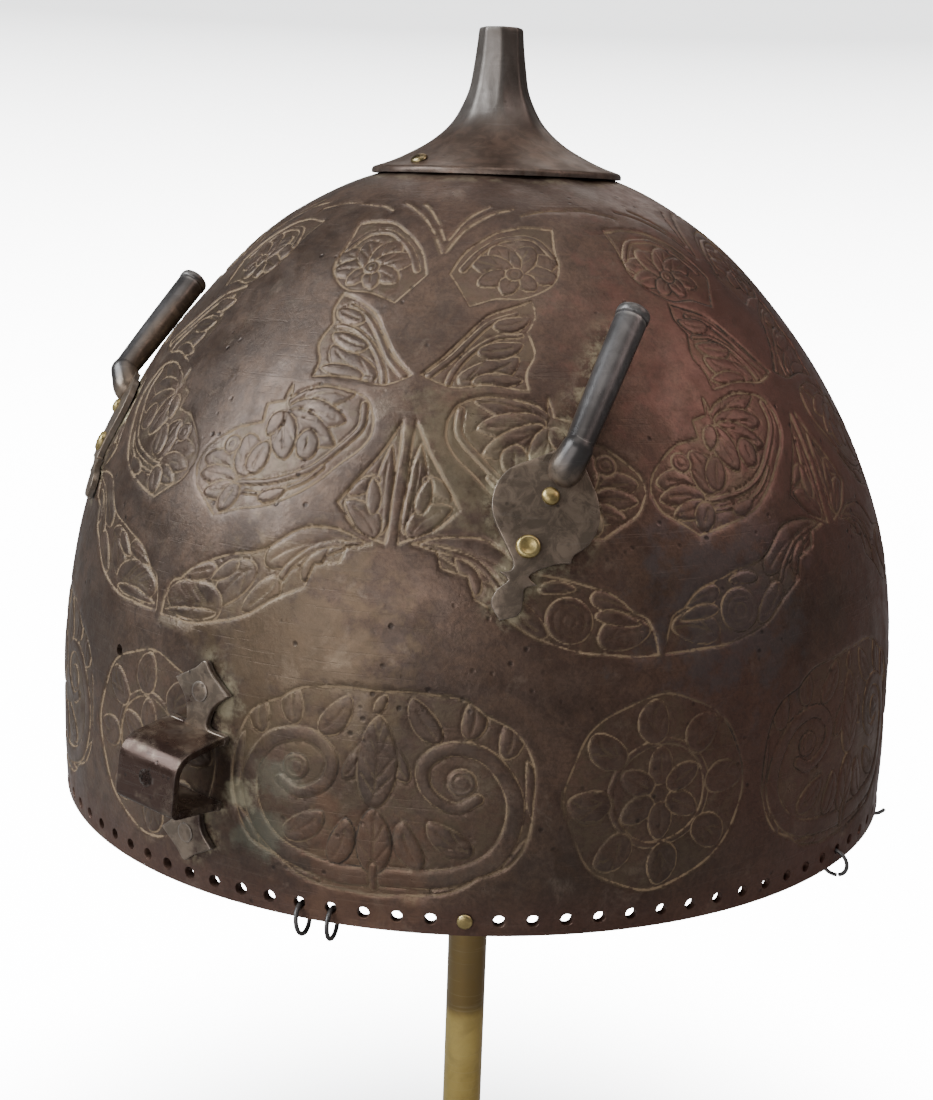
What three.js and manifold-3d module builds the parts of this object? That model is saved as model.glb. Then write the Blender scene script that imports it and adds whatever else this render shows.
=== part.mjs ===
// A kulah khud: a domed iron helmet with a socketed finial, two plume holders, the bridge of a
// lost sliding nasal and a row of pierced mail holes along its rim, standing on a plain post.
// Millimetres, +Z up. The helmet faces -Y. The origin is under the middle of the stand's base.

import * as THREE from 'three';
import { mergeVertices } from 'three/addons/utils/BufferGeometryUtils.js';
import Module from 'manifold-3d';

const wasm = await Module();
wasm.setup();

// Driving sizes

const gap = 0.3; // clearance between pieces that touch on the real helmet
const facetSlack = 0.15; // a round seat's extra clearance over the dome's flat facets
const weld = 1e-4; // vertices closer than this are one
const merge = 0.002; // facets flatter than this are one

const dome = {
  rimRadius: 99,
  height: 144.4,
  wall: 1.8,
  crossScale: 0.99, // side to side
  lengthScale: 1.01, // front to back
  segments: 48, // two rim holes to a facet
  outerRings: 14,
  innerRings: 9,
};
// How much fuller than a half ellipse the dome is, at even steps from the rim to the apex.
const domeFullness = [1, 1.015, 1.041, 1.064, 1.067, 1.078, 1.165];

const rimHoles = { count: 96, radius: 1.15, height: 3.1, sides: 8, phase: -1.1 }; // phase in degrees
const spareHole = { azimuth: -15.6, height: 43.3, radius: 1.1 }; // empty hole beside the front medallion

const stand = {
  rimHeight: 167, // from the table to the helmet's rim
  baseRadius: 72,
  baseThickness: 10,
  baseEdge: 2.5,
  bossRadius: 9,
  bossHeight: 7,
  postRadius: 5,
  socketDepth: 8,
  padRadius: 20,
  padThickness: 5,
  padDrop: 4, // the crown's rise over the pad's width
  padSlack: 0.4,
  padChamfer: 2,
  padLip: 3,
  bossFlare: 2,
};

const finial = {
  seat: 140.1,
  wall: 1.3,
  flangeRadius: 28.9,
  segments: 20,
  rivetRadius: 24.3,
  leastBore: 0.5,
};
const finialProfile = [
  { rise: 1.3, radius: 28.5 },
  { rise: 2.5, radius: 25 },
  { rise: 4, radius: 21.5 },
  { rise: 6.7, radius: 16.4 },
  { rise: 9.4, radius: 12.7 },
  { rise: 12, radius: 10.2 },
  { rise: 15, radius: 8.4 },
  { rise: 19, radius: 6.75 },
  { rise: 24, radius: 5.85 },
  { rise: 32.5, radius: 4.95 },
];
// Three rivets held the flange; the one at the right of the front is lost and its hole is empty.
const finialRivets = [
  { name: 'finial_rivet_front', azimuth: -11.5 },
  { name: 'finial_rivet_rear', azimuth: 228.5 },
];
const finialEmptyHole = { azimuth: 108.5 };
const finialRivetHead = { seat: 0.75, radius: 1.9, crownRadius: 1.3, crownRise: 0.75, rise: 0.95 };

const plate = { thickness: 1.3 };
// Each holder is set by its upper rivet: azimuth from the front, height above the rim, lean.
const plumeHolders = [
  { side: 'right', mirror: 1, azimuth: 41, height: 81.7, lean: 30.3 },
  { side: 'left', mirror: -1, azimuth: 44.5, height: 86, lean: 45 },
];
const tube = {
  foot: 9.5, // along the plate's axis from the upper rivet
  top: 40.6,
  footLift: 3.9, // axis above the dome
  topLift: 5.6,
  footRadius: 2.7,
  topRadius: 3.35,
  collarHeight: 2,
  collarGroove: 0.25,
  boreRadius: 2.2,
  boreDepth: 26,
  topShift: -0.5, // across
  groove: 0.01, // of its length
  barrelTaper: 0.1,
  neckRadius: 4.6,
  neckDrop: 4.5,
  neckTop: 0.06, // of the tube's length
  sides: 12,
};
// The neck's waist between plate and tube: share of its length, radius less than the neck's.
const neckWaist = [
  { t: 0, less: 0 },
  { t: 0.3, less: 0.9 },
  { t: 0.65, less: 1.65 },
  { t: 1, less: 1.9 },
];
// Outline of the plume plate, clockwise from the neck, about its upper rivet.
const plumeOutline = [
  { across: -3.4, along: 8.2 },
  { across: -6.2, along: 4.6 },
  { across: -9, along: 0.8 },
  { across: -9.6, along: -3 },
  { across: -8.6, along: -6.5 },
  { across: -6.4, along: -9.2 },
  { across: -2.4, along: -12 },
  { across: 0.2, along: -14 },
  { across: 0.5, along: -15.5 },
  { across: -1.1, along: -16.7 },
  { across: 1, along: -17.2 },
  { across: 0.2, along: -19.6 },
  { across: 0.6, along: -22.4 },
  { across: 3.4, along: -24.2 },
  { across: 5.7, along: -21.6 },
  { across: 5, along: -18.8 },
  { across: 4.2, along: -17 },
  { across: 5.8, along: -15.4 },
  { across: 3.8, along: -14.9 },
  { across: 4.6, along: -13 },
  { across: 7.2, along: -10.2 },
  { across: 9.1, along: -9 },
  { across: 8.9, along: -7.4 },
  { across: 10.2, along: -4.8 },
  { across: 10.5, along: -1.8 },
  { across: 9.8, along: 1.1 },
  { across: 7.9, along: 4 },
  { across: 5.2, along: 6.4 },
  { across: 3, along: 8.2 },
];
const plumeRivets = [
  { name: 'upper', across: 0, along: 0, radius: 1.65, rise: 0.9 },
  { name: 'lower', across: 1, along: -10.2, radius: 2.2, rise: 1.2 },
];

// The nasal's bridge, set by its middle; across runs round the dome, along runs up it.
const bracket = {
  azimuth: 0,
  height: 27.2,
  lean: 5.5,
  width: 14.5,
  standOff: 13.7,
  wall: 1.5,
  topFoot: 7.2,
  bottomFoot: -8,
  frontTop: 6.4,
  frontBottom: -6.6,
  topBend: 4.6,
  bottomBend: 2.2,
  bendSteps: 4,
  innerBottomShare: 0.8, // the inner lower bend is tighter than the wall alone makes it
  sunk: 1, // the feet start under the surface and are trimmed to it
  screwRadius: 1.6,
  screwSides: 12,
};
const lugOutlineTop = [
  { across: 7.2, along: 5.4 },
  { across: 7.2, along: 7.2 },
  { across: 3, along: 7.6 },
  { across: 2.8, along: 9.6 },
  { across: 3.8, along: 12.2 },
  { across: 6.9, along: 15.2 },
  { across: 2.2, along: 18.4 },
  { across: 0, along: 20.4 },
];
const lugOutlineBottom = [
  { across: 7.2, along: -6.4 },
  { across: 7.2, along: -8 },
  { across: 3.3, along: -8.6 },
  { across: 3.3, along: -11.4 },
  { across: 4.2, along: -13.6 },
  { across: 6.8, along: -16.2 },
  { across: 2.4, along: -19 },
  { across: 0, along: -21 },
];
const bracketRivets = [
  { name: 'nasal_rivet_upper', along: 14.3 },
  { name: 'nasal_rivet_lower', along: -14.9 },
];

const rivet = {
  shankRadius: 0.9,
  headSides: 8,
  flushRadius: 2,
  flushRise: 0.35,
  tailRadius: 1.5,
  tailRise: 0.6,
  tailSeat: 0.8, // clear of the flat facets inside the dome
};

// Rings of the lost mail, and a plugged hole, counted in rim holes from the front towards the left.
const mailRing = { radius: 2.95, wire: 0.45, sides: 5, top: 2.7, stepDegrees: 24 };
const mailRings = [
  { name: 'mail_ring_1', hole: 4, from: -78, to: 270 },
  { name: 'mail_ring_2', hole: 5, from: -78, to: 270 },
  { name: 'mail_ring_3', hole: 23, from: -78, to: 270 },
  { name: 'mail_stub', hole: 29, from: -30, to: 150 },
];
const rimPlug = {
  hole: 9,
  shankRadius: 0.95,
  headRadius: 1.5,
  seat: 0.2,
  shoulderRise: 0.5,
  headRise: 0.7,
  tail: 0.4,
};
const drill = { through: 6, past: 3, plateCut: 24 }; // how far cutters reach
const headShoulder = { radius: 0.75, rise: 0.8 }; // where a domed head turns over, as shares

// Materials

function metal(color, roughness, metalness) {
  return new THREE.MeshStandardMaterial({ color, roughness, metalness });
}
const brownIron = metal(0x5a463c, 0.45, 0.85);
const darkIron = metal(0x4a4542, 0.4, 0.9);
const steel = metal(0x77736e, 0.35, 0.9);
const rivetBrass = metal(0xa8894a, 0.4, 0.95);
const postBrass = metal(0xa58f63, 0.45, 0.9);
const paintedIron = metal(0x2b2a29, 0.6, 0.3);

// The dome's surface

const clamp = THREE.MathUtils.clamp;
const radians = THREE.MathUtils.degToRad;

function fullness(t) {
  // Cubic through the even knots of domeFullness.
  const last = domeFullness.length - 1;
  const cell = Math.min(Math.floor(t * last), last - 1);
  const u = t * last - cell;
  const at = (i) => domeFullness[clamp(i, 0, last)];
  const [p, q] = [at(cell), at(cell + 1)];
  const slopeIn = cell === 0 ? q - p : (q - at(cell - 1)) / 2;
  const slopeOut = cell === last - 1 ? q - p : (at(cell + 2) - p) / 2;
  return (
    p * (2 * u ** 3 - 3 * u ** 2 + 1) +
    slopeIn * (u ** 3 - 2 * u ** 2 + u) +
    q * (3 * u ** 2 - 2 * u ** 3) +
    slopeOut * (u ** 3 - u ** 2)
  );
}

function domeRadius(height) {
  const t = clamp(height / dome.height, 0, 1);
  return dome.rimRadius * Math.sqrt(1 - t * t) * fullness(t);
}

// The meridian as closely spaced points, with the length walked from the rim.
const meridian = [];
const meridianSteps = 1200;
for (let i = 0; i <= meridianSteps; i += 1) {
  const height = dome.height * Math.sin((i / meridianSteps) * (Math.PI / 2));
  const radius = i === meridianSteps ? 0 : domeRadius(height);
  const before = meridian[i - 1];
  const length = before ? before.length + Math.hypot(radius - before.radius, height - before.height) : 0;
  meridian.push({ height, radius, length });
}

function onMeridian(key, value) {
  // The meridian point whose height or walked length has this value.
  let i = 1;
  while (i < meridianSteps && meridian[i][key] < value) i += 1;
  const [a, b] = [meridian[i - 1], meridian[i]];
  const f = (value - a[key]) / (b[key] - a[key]);
  const mix = (name) => a[name] + (b[name] - a[name]) * f;
  const step = new THREE.Vector2(b.radius - a.radius, b.height - a.height).normalize();
  return { height: mix('height'), radius: mix('radius'), length: mix('length'), step };
}

// A frame on the dome: azimuth in degrees from the front towards the wearer's left (+X),
// height above the rim, lean in degrees from upright towards +azimuth.
function surfaceFrame(azimuth, height, lean = 0) {
  const point = onMeridian('height', height);
  const angle = radians(azimuth);
  const outward = new THREE.Vector3(Math.sin(angle), -Math.cos(angle), 0);
  const side = new THREE.Vector3(Math.cos(angle), Math.sin(angle), 0);
  const up = outward.clone().multiplyScalar(point.step.x).add(new THREE.Vector3(0, 0, point.step.y));
  const origin = outward.clone().multiplyScalar(point.radius);
  origin.x *= dome.crossScale;
  origin.y *= dome.lengthScale;
  origin.z = point.height;
  const normal = new THREE.Vector3().crossVectors(side, up).normalize();
  const turn = new THREE.Quaternion().setFromAxisAngle(normal, -radians(lean));
  side.applyQuaternion(turn);
  up.applyQuaternion(turn);
  return { origin, side, up, normal };
}

// Walks across and along the dome from a leaning anchor, then stands off by lift.
function walk(anchor, across, along, lift = 0) {
  const lean = radians(anchor.lean);
  const sideways = across * Math.cos(lean) + along * Math.sin(lean);
  const upwards = along * Math.cos(lean) - across * Math.sin(lean);
  const start = onMeridian('height', anchor.height);
  const end = onMeridian('length', start.length + upwards);
  const midRadius = onMeridian('height', (start.height + end.height) / 2).radius;
  const azimuth = (anchor.azimuth + THREE.MathUtils.radToDeg(sideways / midRadius)) * (anchor.mirror ?? 1);
  const frame = surfaceFrame(azimuth, end.height);
  frame.origin.addScaledVector(frame.normal, lift);
  return frame;
}

const basisOf = (frame) =>
  new THREE.Matrix4().makeBasis(frame.side, frame.up, frame.normal).setPosition(frame.origin);

// Solids

function toSolid(geometry) {
  const bare = geometry.index ? geometry.toNonIndexed() : geometry.clone();
  for (const name of Object.keys(bare.attributes)) if (name !== 'position') bare.deleteAttribute(name);
  const merged = mergeVertices(bare, weld);
  return new wasm.Manifold(
    new wasm.Mesh({
      numProp: 3,
      vertProperties: new Float32Array(merged.attributes.position.array),
      triVerts: new Uint32Array(merged.index.array),
    }),
  );
}

function toGeometry(solid) {
  const mesh = solid.asOriginal().simplify(merge).getMesh();
  const geometry = new THREE.BufferGeometry();
  geometry.setAttribute('position', new THREE.BufferAttribute(new Float32Array(mesh.vertProperties), 3));
  geometry.setIndex(new THREE.BufferAttribute(new Uint32Array(mesh.triVerts), 1));
  const faceted = geometry.toNonIndexed();
  faceted.computeVertexNormals();
  return faceted;
}

// Turns a closed list of [radius, height] about the vertical axis.
function turned(points, segments, start = 0) {
  const profile = points.map(([radius, height]) => new THREE.Vector2(radius, height));
  return new THREE.LatheGeometry(profile, segments, start).rotateX(Math.PI / 2);
}

// A peg along a frame's normal, from one level to another, for drilling.
function peg(frame, radius, from, to, sides) {
  const geometry = new THREE.CylinderGeometry(radius, radius, to - from, sides);
  geometry.rotateX(Math.PI / 2).translate(0, 0, (from + to) / 2);
  return toSolid(geometry.applyMatrix4(basisOf(frame)));
}

// The dome's outer or inner form, thickened outwards by offset.
function domeLine(offset, rings) {
  const points = [];
  for (let i = 0; i <= rings; i += 1) {
    const length = (meridian[meridianSteps].length * i) / rings;
    const point = onMeridian('length', length);
    const radius = point.radius + offset * point.step.y;
    const height = point.height - offset * point.step.x;
    points.push(i === rings ? [0, dome.height + offset] : [radius, i === 0 ? 0 : height]);
  }
  return points;
}

// Turns a line of the dome, its facets set so that no rim hole falls on an edge between two.
function domeTurned(points) {
  const start = Math.PI / rimHoles.count + radians(rimHoles.phase);
  return turned(points, dome.segments, start).scale(dome.crossScale, dome.lengthScale, 1);
}

function domeSolid(offset) {
  return toSolid(domeTurned([[0, 0], ...domeLine(offset, dome.outerRings)]));
}

function holeFrame(index) {
  return surfaceFrame((360 / rimHoles.count) * index + rimHoles.phase, rimHoles.height);
}

function makeBowl() {
  const outside = domeLine(0, dome.outerRings);
  const inside = domeLine(-dome.wall, dome.innerRings).reverse();
  let bowl = toSolid(domeTurned([...outside, ...inside, outside[0]]));
  const pierce = (frame, radius) => {
    bowl = bowl.subtract(peg(frame, radius, -drill.through, drill.past, rimHoles.sides));
  };
  for (let i = 0; i < rimHoles.count; i += 1) pierce(holeFrame(i), rimHoles.radius);
  pierce(surfaceFrame(spareHole.azimuth, spareHole.height), spareHole.radius);
  for (const frame of rivetFrames) pierce(frame, rivet.shankRadius + gap);
  return bowl;
}

// A plate hammered to the dome: an outline cut from a layer that follows the surface.
function hammeredPlate(frame, outline) {
  const shape = new THREE.Shape(outline.map((p) => new THREE.Vector2(p.across, p.along)));
  const cutter = new THREE.ExtrudeGeometry(shape, { depth: drill.plateCut, bevelEnabled: false, steps: 1 });
  cutter.translate(0, 0, -drill.plateCut / 2).applyMatrix4(basisOf(frame));
  const layer = domeSolid(gap + plate.thickness).subtract(domeSolid(gap));
  return toSolid(cutter).intersect(layer);
}

// A round bar between two points, from a list of { t, radius } with an optional blind bore.
function turnedBetween(start, end, rows, sides) {
  const length = start.distanceTo(end);
  const geometry = turned(rows.map((row) => [row.radius, row.t * length]), sides);
  const turn = new THREE.Quaternion().setFromUnitVectors(
    new THREE.Vector3(0, 0, 1),
    end.clone().sub(start).normalize(),
  );
  return toSolid(geometry.applyQuaternion(turn).translate(start.x, start.y, start.z));
}

function makePlumeHolder(holder) {
  const frame = surfaceFrame(holder.azimuth * holder.mirror, holder.height, holder.lean * holder.mirror);
  const outline = plumeOutline.map((p) => ({ across: p.across * holder.mirror, along: p.along }));
  let solid = hammeredPlate(frame, outline);
  const foot = walk(holder, 0, tube.foot, tube.footLift).origin;
  const top = walk(holder, tube.topShift, tube.top, tube.topLift).origin;
  const length = foot.distanceTo(top);
  const collar = 1 - tube.collarHeight / length;
  const barrel = turnedBetween(
    foot,
    top,
    [
      { t: 0, radius: 0 },
      { t: 0, radius: tube.footRadius },
      { t: collar - tube.groove, radius: tube.topRadius - tube.barrelTaper },
      { t: collar, radius: tube.topRadius - tube.collarGroove },
      { t: collar + tube.groove, radius: tube.topRadius },
      { t: 1, radius: tube.topRadius },
      { t: 1, radius: tube.boreRadius },
      { t: 1 - tube.boreDepth / length, radius: tube.boreRadius },
      { t: 1 - tube.boreDepth / length, radius: 0 },
    ],
    tube.sides,
  );
  const heel = walk(holder, 0, tube.foot - tube.neckDrop, plate.thickness).origin;
  const throat = foot.clone().lerp(top, tube.neckTop);
  const waist = neckWaist.map((row) => ({ t: row.t, radius: tube.neckRadius - row.less }));
  const neck = turnedBetween(heel, throat, [{ t: 0, radius: 0 }, ...waist, { t: 1, radius: 0 }], tube.sides);
  solid = solid.add(barrel).add(neck.subtract(domeSolid(gap)));
  for (const row of plumeRivets) {
    const at = walk(holder, row.across, row.along);
    solid = solid.subtract(peg(at, rivet.shankRadius + gap, -drill.past, drill.through, rimHoles.sides));
  }
  return solid;
}

// The bridge strap in section, across its width: up the dome is y, off the dome is x.
function strapSection() {
  const { standOff, topFoot, bottomFoot, frontTop, frontBottom, topBend, bottomBend, bendSteps } = bracket;
  const line = (inset) => {
    const points = [new THREE.Vector2(-bracket.sunk, topFoot - inset)];
    const bend = (radius, centreX, centreY, from) => {
      for (let i = 0; i <= bendSteps; i += 1) {
        const angle = from - (i / bendSteps) * (Math.PI / 2);
        const [x, y] = [centreX + radius * Math.cos(angle), centreY + radius * Math.sin(angle)];
        points.push(new THREE.Vector2(x, y));
      }
    };
    const tight = inset * bracket.innerBottomShare;
    const rest = inset - tight;
    bend(topBend - inset, standOff - topBend, frontTop - topBend, Math.PI / 2);
    bend(bottomBend - tight, standOff - rest - bottomBend, frontBottom + rest + bottomBend, 0);
    points.push(new THREE.Vector2(-bracket.sunk, bottomFoot + inset));
    return points;
  };
  return new THREE.Shape([...line(0), ...line(bracket.wall).reverse()]);
}

function makeBracket() {
  const frame = surfaceFrame(bracket.azimuth, bracket.height, bracket.lean);
  const strap = new THREE.ExtrudeGeometry(strapSection(), { depth: bracket.width, bevelEnabled: false });
  // Section x goes to the normal, section y up the dome, and the depth across it.
  const across = frame.side.clone().negate();
  const turn = new THREE.Matrix4().makeBasis(frame.normal, frame.up, across);
  strap.translate(0, 0, -bracket.width / 2).applyMatrix4(turn.setPosition(frame.origin));
  let solid = toSolid(strap).subtract(domeSolid(gap));
  for (const half of [lugOutlineTop, lugOutlineBottom]) {
    const other = half.slice(0, -1).reverse();
    const mirrored = other.map((p) => ({ across: -p.across, along: p.along }));
    solid = solid.add(hammeredPlate(frame, [...half, ...mirrored]));
  }
  const { standOff, wall, screwRadius, screwSides } = bracket;
  solid = solid.subtract(peg(frame, screwRadius, standOff - 2 * wall, standOff + wall, screwSides));
  for (const row of bracketRivets) {
    const at = walk(bracket, 0, row.along);
    solid = solid.subtract(peg(at, rivet.shankRadius + gap, -drill.past, drill.through, rimHoles.sides));
  }
  return solid;
}

// A rivet through wall and plate: domed head outside, peened tail inside.
function makeRivet(frame, headRadius, rise, seat, headSides = rivet.headSides) {
  const base = seat + gap / 3;
  const tail = -dome.wall - rivet.tailSeat;
  const geometry = turned(
    [
      [0, tail - rivet.tailRise],
      [rivet.tailRadius, tail],
      [rivet.shankRadius, tail],
      [rivet.shankRadius, base],
      [headRadius, base],
      [headRadius * headShoulder.radius, base + rise * headShoulder.rise],
      [0, base + rise],
    ],
    headSides,
  );
  return toSolid(geometry.applyMatrix4(basisOf(frame)));
}

// The finial, drawn up out of one sheet: an open socket at the top, hollow down to the dome.
function finialFrame(azimuth) {
  const slope = finialProfile[1];
  const frame = surfaceFrame(azimuth, onRadius(finial.rivetRadius));
  frame.origin.set(
    Math.sin(radians(azimuth)) * finial.rivetRadius,
    -Math.cos(radians(azimuth)) * finial.rivetRadius,
    finial.seat + slope.rise,
  );
  return frame;
}

function onRadius(radius) {
  return meridian.find((point) => point.radius <= radius).height;
}

function makeFinial() {
  const outside = finialProfile.map((row) => [row.radius, finial.seat + row.rise]);
  const inside = outside.map(([radius, height], i) => {
    const [r0, h0] = outside[Math.max(i - 1, 0)];
    const [r1, h1] = outside[Math.min(i + 1, outside.length - 1)];
    const step = new THREE.Vector2(r1 - r0, h1 - h0).normalize();
    const inner = Math.max(radius - finial.wall * step.y, finial.leastBore);
    const isTop = i === outside.length - 1;
    const low = isTop ? height : height + finial.wall * step.x;
    return [inner, Math.max(low, onRadius(inner) + gap + facetSlack)];
  });
  const lip = [finial.flangeRadius, onRadius(finial.flangeRadius) + gap + facetSlack];
  const ring = [lip, ...outside, ...inside.reverse(), lip];
  let solid = toSolid(turned(ring, finial.segments));
  for (const row of [...finialRivets, finialEmptyHole]) {
    const at = finialFrame(row.azimuth);
    solid = solid.subtract(peg(at, rivet.shankRadius + gap, -drill.past, drill.past, rimHoles.sides));
  }
  return solid;
}

function makeFinialRivet(row) {
  const frame = finialFrame(row.azimuth);
  const depth = frame.origin.z - onRadius(finial.rivetRadius);
  const head = finialRivetHead;
  const tail = -depth - dome.wall - rivet.tailSeat - gap;
  const geometry = turned(
    [
      [0, tail - rivet.tailRise],
      [rivet.tailRadius, tail],
      [rivet.shankRadius, tail],
      [rivet.shankRadius, head.seat],
      [head.radius, head.seat],
      [head.crownRadius, head.seat + head.crownRise],
      [0, head.seat + head.rise],
    ],
    rivet.headSides,
  );
  return toSolid(geometry.applyMatrix4(basisOf(frame)));
}

// A wire ring that hangs through a rim hole, in the plane of the wall's thickness. Its ends,
// from and to in degrees round from outwards, are butted, or broken off on a stub.
function makeMailRing(row) {
  const arc = row.to - row.from;
  class RingLine extends THREE.Curve {
    getPoint(t, target = new THREE.Vector3()) {
      const angle = radians(row.from + arc * t);
      return target.set(mailRing.radius * Math.cos(angle), 0, mailRing.radius * Math.sin(angle));
    }
  }
  const section = new THREE.Shape();
  for (let i = 0; i < mailRing.sides; i += 1) {
    const angle = (i / mailRing.sides) * 2 * Math.PI;
    const [x, y] = [mailRing.wire * Math.cos(angle), mailRing.wire * Math.sin(angle)];
    if (i === 0) section.moveTo(x, y);
    else section.lineTo(x, y);
  }
  const steps = Math.round(arc / mailRing.stepDegrees);
  const ring = new THREE.ExtrudeGeometry(section, { steps, extrudePath: new RingLine() });
  const frame = holeFrame(row.hole);
  const outward = new THREE.Vector3(frame.side.y, -frame.side.x, 0);
  const placed = new THREE.Matrix4().makeBasis(outward, frame.side, new THREE.Vector3(0, 0, 1));
  const middle = frame.origin.clone().addScaledVector(outward, -dome.wall / 2);
  middle.z = mailRing.top - mailRing.radius;
  return toSolid(ring.applyMatrix4(placed.setPosition(middle)));
}

function makeRimPlug() {
  const tail = -dome.wall - rivet.tailSeat;
  const points = [
    [0, tail - rimPlug.tail],
    [rimPlug.shankRadius, tail],
    [rimPlug.shankRadius, rimPlug.seat],
    [rimPlug.headRadius, rimPlug.seat],
    [rimPlug.headRadius * headShoulder.radius, rimPlug.shoulderRise],
    [0, rimPlug.headRise],
  ];
  return toSolid(turned(points, rivet.headSides).applyMatrix4(basisOf(holeFrame(rimPlug.hole))));
}

// The stand, measured from the table

function makeBase() {
  const { baseRadius, baseThickness, baseEdge, bossRadius, bossHeight, postRadius, socketDepth } = stand;
  const top = baseThickness + bossHeight;
  return turned(
    [
      [0, 0],
      [baseRadius, 0],
      [baseRadius, baseThickness - baseEdge],
      [baseRadius - baseEdge, baseThickness],
      [bossRadius + stand.bossFlare, baseThickness],
      [bossRadius, top],
      [postRadius + gap, top],
      [postRadius + gap, top - socketDepth],
      [0, top - socketDepth],
    ],
    40,
  );
}

const padUnderside = stand.rimHeight + dome.height - dome.wall - stand.padThickness - stand.padDrop;
const postFoot = stand.baseThickness + stand.bossHeight - stand.socketDepth + gap;

function makePost() {
  const head = padUnderside - gap;
  const { postRadius } = stand;
  return turned([[0, postFoot], [postRadius, postFoot], [postRadius, head], [0, head]], 20);
}

// A plain pad under the crown, shaped to the inside of the dome.
function makePad() {
  const line = domeLine(-dome.wall - gap, 2 * dome.outerRings);
  const under = [
    [0, padUnderside],
    [stand.postRadius + stand.bossFlare, padUnderside],
    [stand.padRadius - stand.padLip, padUnderside - stand.padChamfer],
  ];
  const over = line
    .filter(([radius]) => radius <= stand.padRadius)
    .map(([radius, height]) => [radius, height + stand.rimHeight - stand.padSlack]);
  const [edgeRadius, edgeHeight] = over[0];
  return turned([...under, [edgeRadius, edgeHeight - stand.padChamfer], ...over], 24);
}

// Assembly

const part = new THREE.Group();
const helmet = new THREE.Group();
helmet.position.z = stand.rimHeight;
part.add(helmet);

function addPiece(group, name, piece, material) {
  const mesh = new THREE.Mesh(piece instanceof THREE.BufferGeometry ? piece : toGeometry(piece), material);
  mesh.name = name;
  group.add(mesh);
}

const rivetFrames = [
  ...plumeHolders.flatMap((holder) => plumeRivets.map((row) => walk(holder, row.across, row.along))),
  ...bracketRivets.map((row) => walk(bracket, 0, row.along)),
  ...[...finialRivets, finialEmptyHole].map((row) => finialFrame(row.azimuth)),
];

addPiece(helmet, 'bowl', makeBowl(), brownIron);
addPiece(helmet, 'finial', makeFinial(), steel);
for (const row of finialRivets) addPiece(helmet, row.name, makeFinialRivet(row), rivetBrass);
for (const holder of plumeHolders) {
  addPiece(helmet, `plume_holder_${holder.side}`, makePlumeHolder(holder), darkIron);
  for (const row of plumeRivets) {
    const solid = makeRivet(walk(holder, row.across, row.along), row.radius, row.rise, gap + plate.thickness);
    addPiece(helmet, `plume_rivet_${holder.side}_${row.name}`, solid, rivetBrass);
  }
}
addPiece(helmet, 'nasal_bracket', makeBracket(), darkIron);
for (const row of bracketRivets) {
  const frame = walk(bracket, 0, row.along);
  const solid = makeRivet(frame, rivet.flushRadius, rivet.flushRise, gap + plate.thickness);
  addPiece(helmet, row.name, solid, darkIron);
}
for (const row of mailRings) addPiece(helmet, row.name, makeMailRing(row), darkIron);
addPiece(helmet, 'rim_plug', makeRimPlug(), rivetBrass);
addPiece(part, 'stand_base', makeBase(), paintedIron);
addPiece(part, 'stand_post', makePost(), postBrass);
addPiece(part, 'stand_pad', makePad(), paintedIron);

export default part;
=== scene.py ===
# %% [markdown]
# # A chiselled iron kulah khud
#
# A kulah khud is a light domed helmet, beaten up from one sheet of iron, or from two welded ones.
# This one has lost its mail curtain, its sliding nasal, its spike and both plumes. What is left is
# the bowl with its chased panels, the finial's socket, two plume holders, the nasal's bridge, a few
# rings of mail and the brass post that it stands on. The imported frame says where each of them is,
# so every piece below is modelled in place, around that frame, in metres.

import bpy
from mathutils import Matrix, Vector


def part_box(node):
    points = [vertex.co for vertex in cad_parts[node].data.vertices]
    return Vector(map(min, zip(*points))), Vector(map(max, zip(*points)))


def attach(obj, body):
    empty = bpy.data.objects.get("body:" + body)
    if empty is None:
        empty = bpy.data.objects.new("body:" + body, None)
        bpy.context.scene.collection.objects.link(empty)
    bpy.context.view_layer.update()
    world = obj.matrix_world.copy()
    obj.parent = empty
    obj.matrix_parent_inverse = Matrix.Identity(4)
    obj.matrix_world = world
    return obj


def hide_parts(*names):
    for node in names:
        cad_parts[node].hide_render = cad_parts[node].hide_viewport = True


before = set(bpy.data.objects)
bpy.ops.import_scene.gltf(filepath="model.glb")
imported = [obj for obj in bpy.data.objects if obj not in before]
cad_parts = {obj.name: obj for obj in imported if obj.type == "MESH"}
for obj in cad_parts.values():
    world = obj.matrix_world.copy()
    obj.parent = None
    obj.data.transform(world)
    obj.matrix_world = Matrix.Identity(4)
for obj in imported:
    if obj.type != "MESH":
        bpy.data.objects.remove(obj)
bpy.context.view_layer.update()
print("nodes:", ", ".join(sorted(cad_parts)))

# %% Modules
import math

import bpy
import numpy as np
from mathutils import Matrix, Vector

MM = 0.001

# %% [markdown]
# ## The camera
#
# The helmet was photographed from close by, a little above its rim, and 32.5 degrees round towards
# its left side. A helmet that is seen from 0.36 m shows strong perspective: the rim bulges down in
# the middle. So the camera stands at the real distance with the real lens, and nothing is faked
# with a long lens from further away.

# %% Camera
view_azimuth = math.radians(32.5)  # from the front, -Y, towards +X
view_distance = 359.4 * MM  # from the post's axis
view_height = 134.5 * MM  # above the rim
view_down = math.radians(13.02)
view_yaw = math.radians(-0.6)
view_roll = math.radians(1.996)
photo_height = 1100
photo_focal = 1511.5  # in pixels of the photo
sensor = 36.0

rim_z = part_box("bowl")[0][2]

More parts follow.
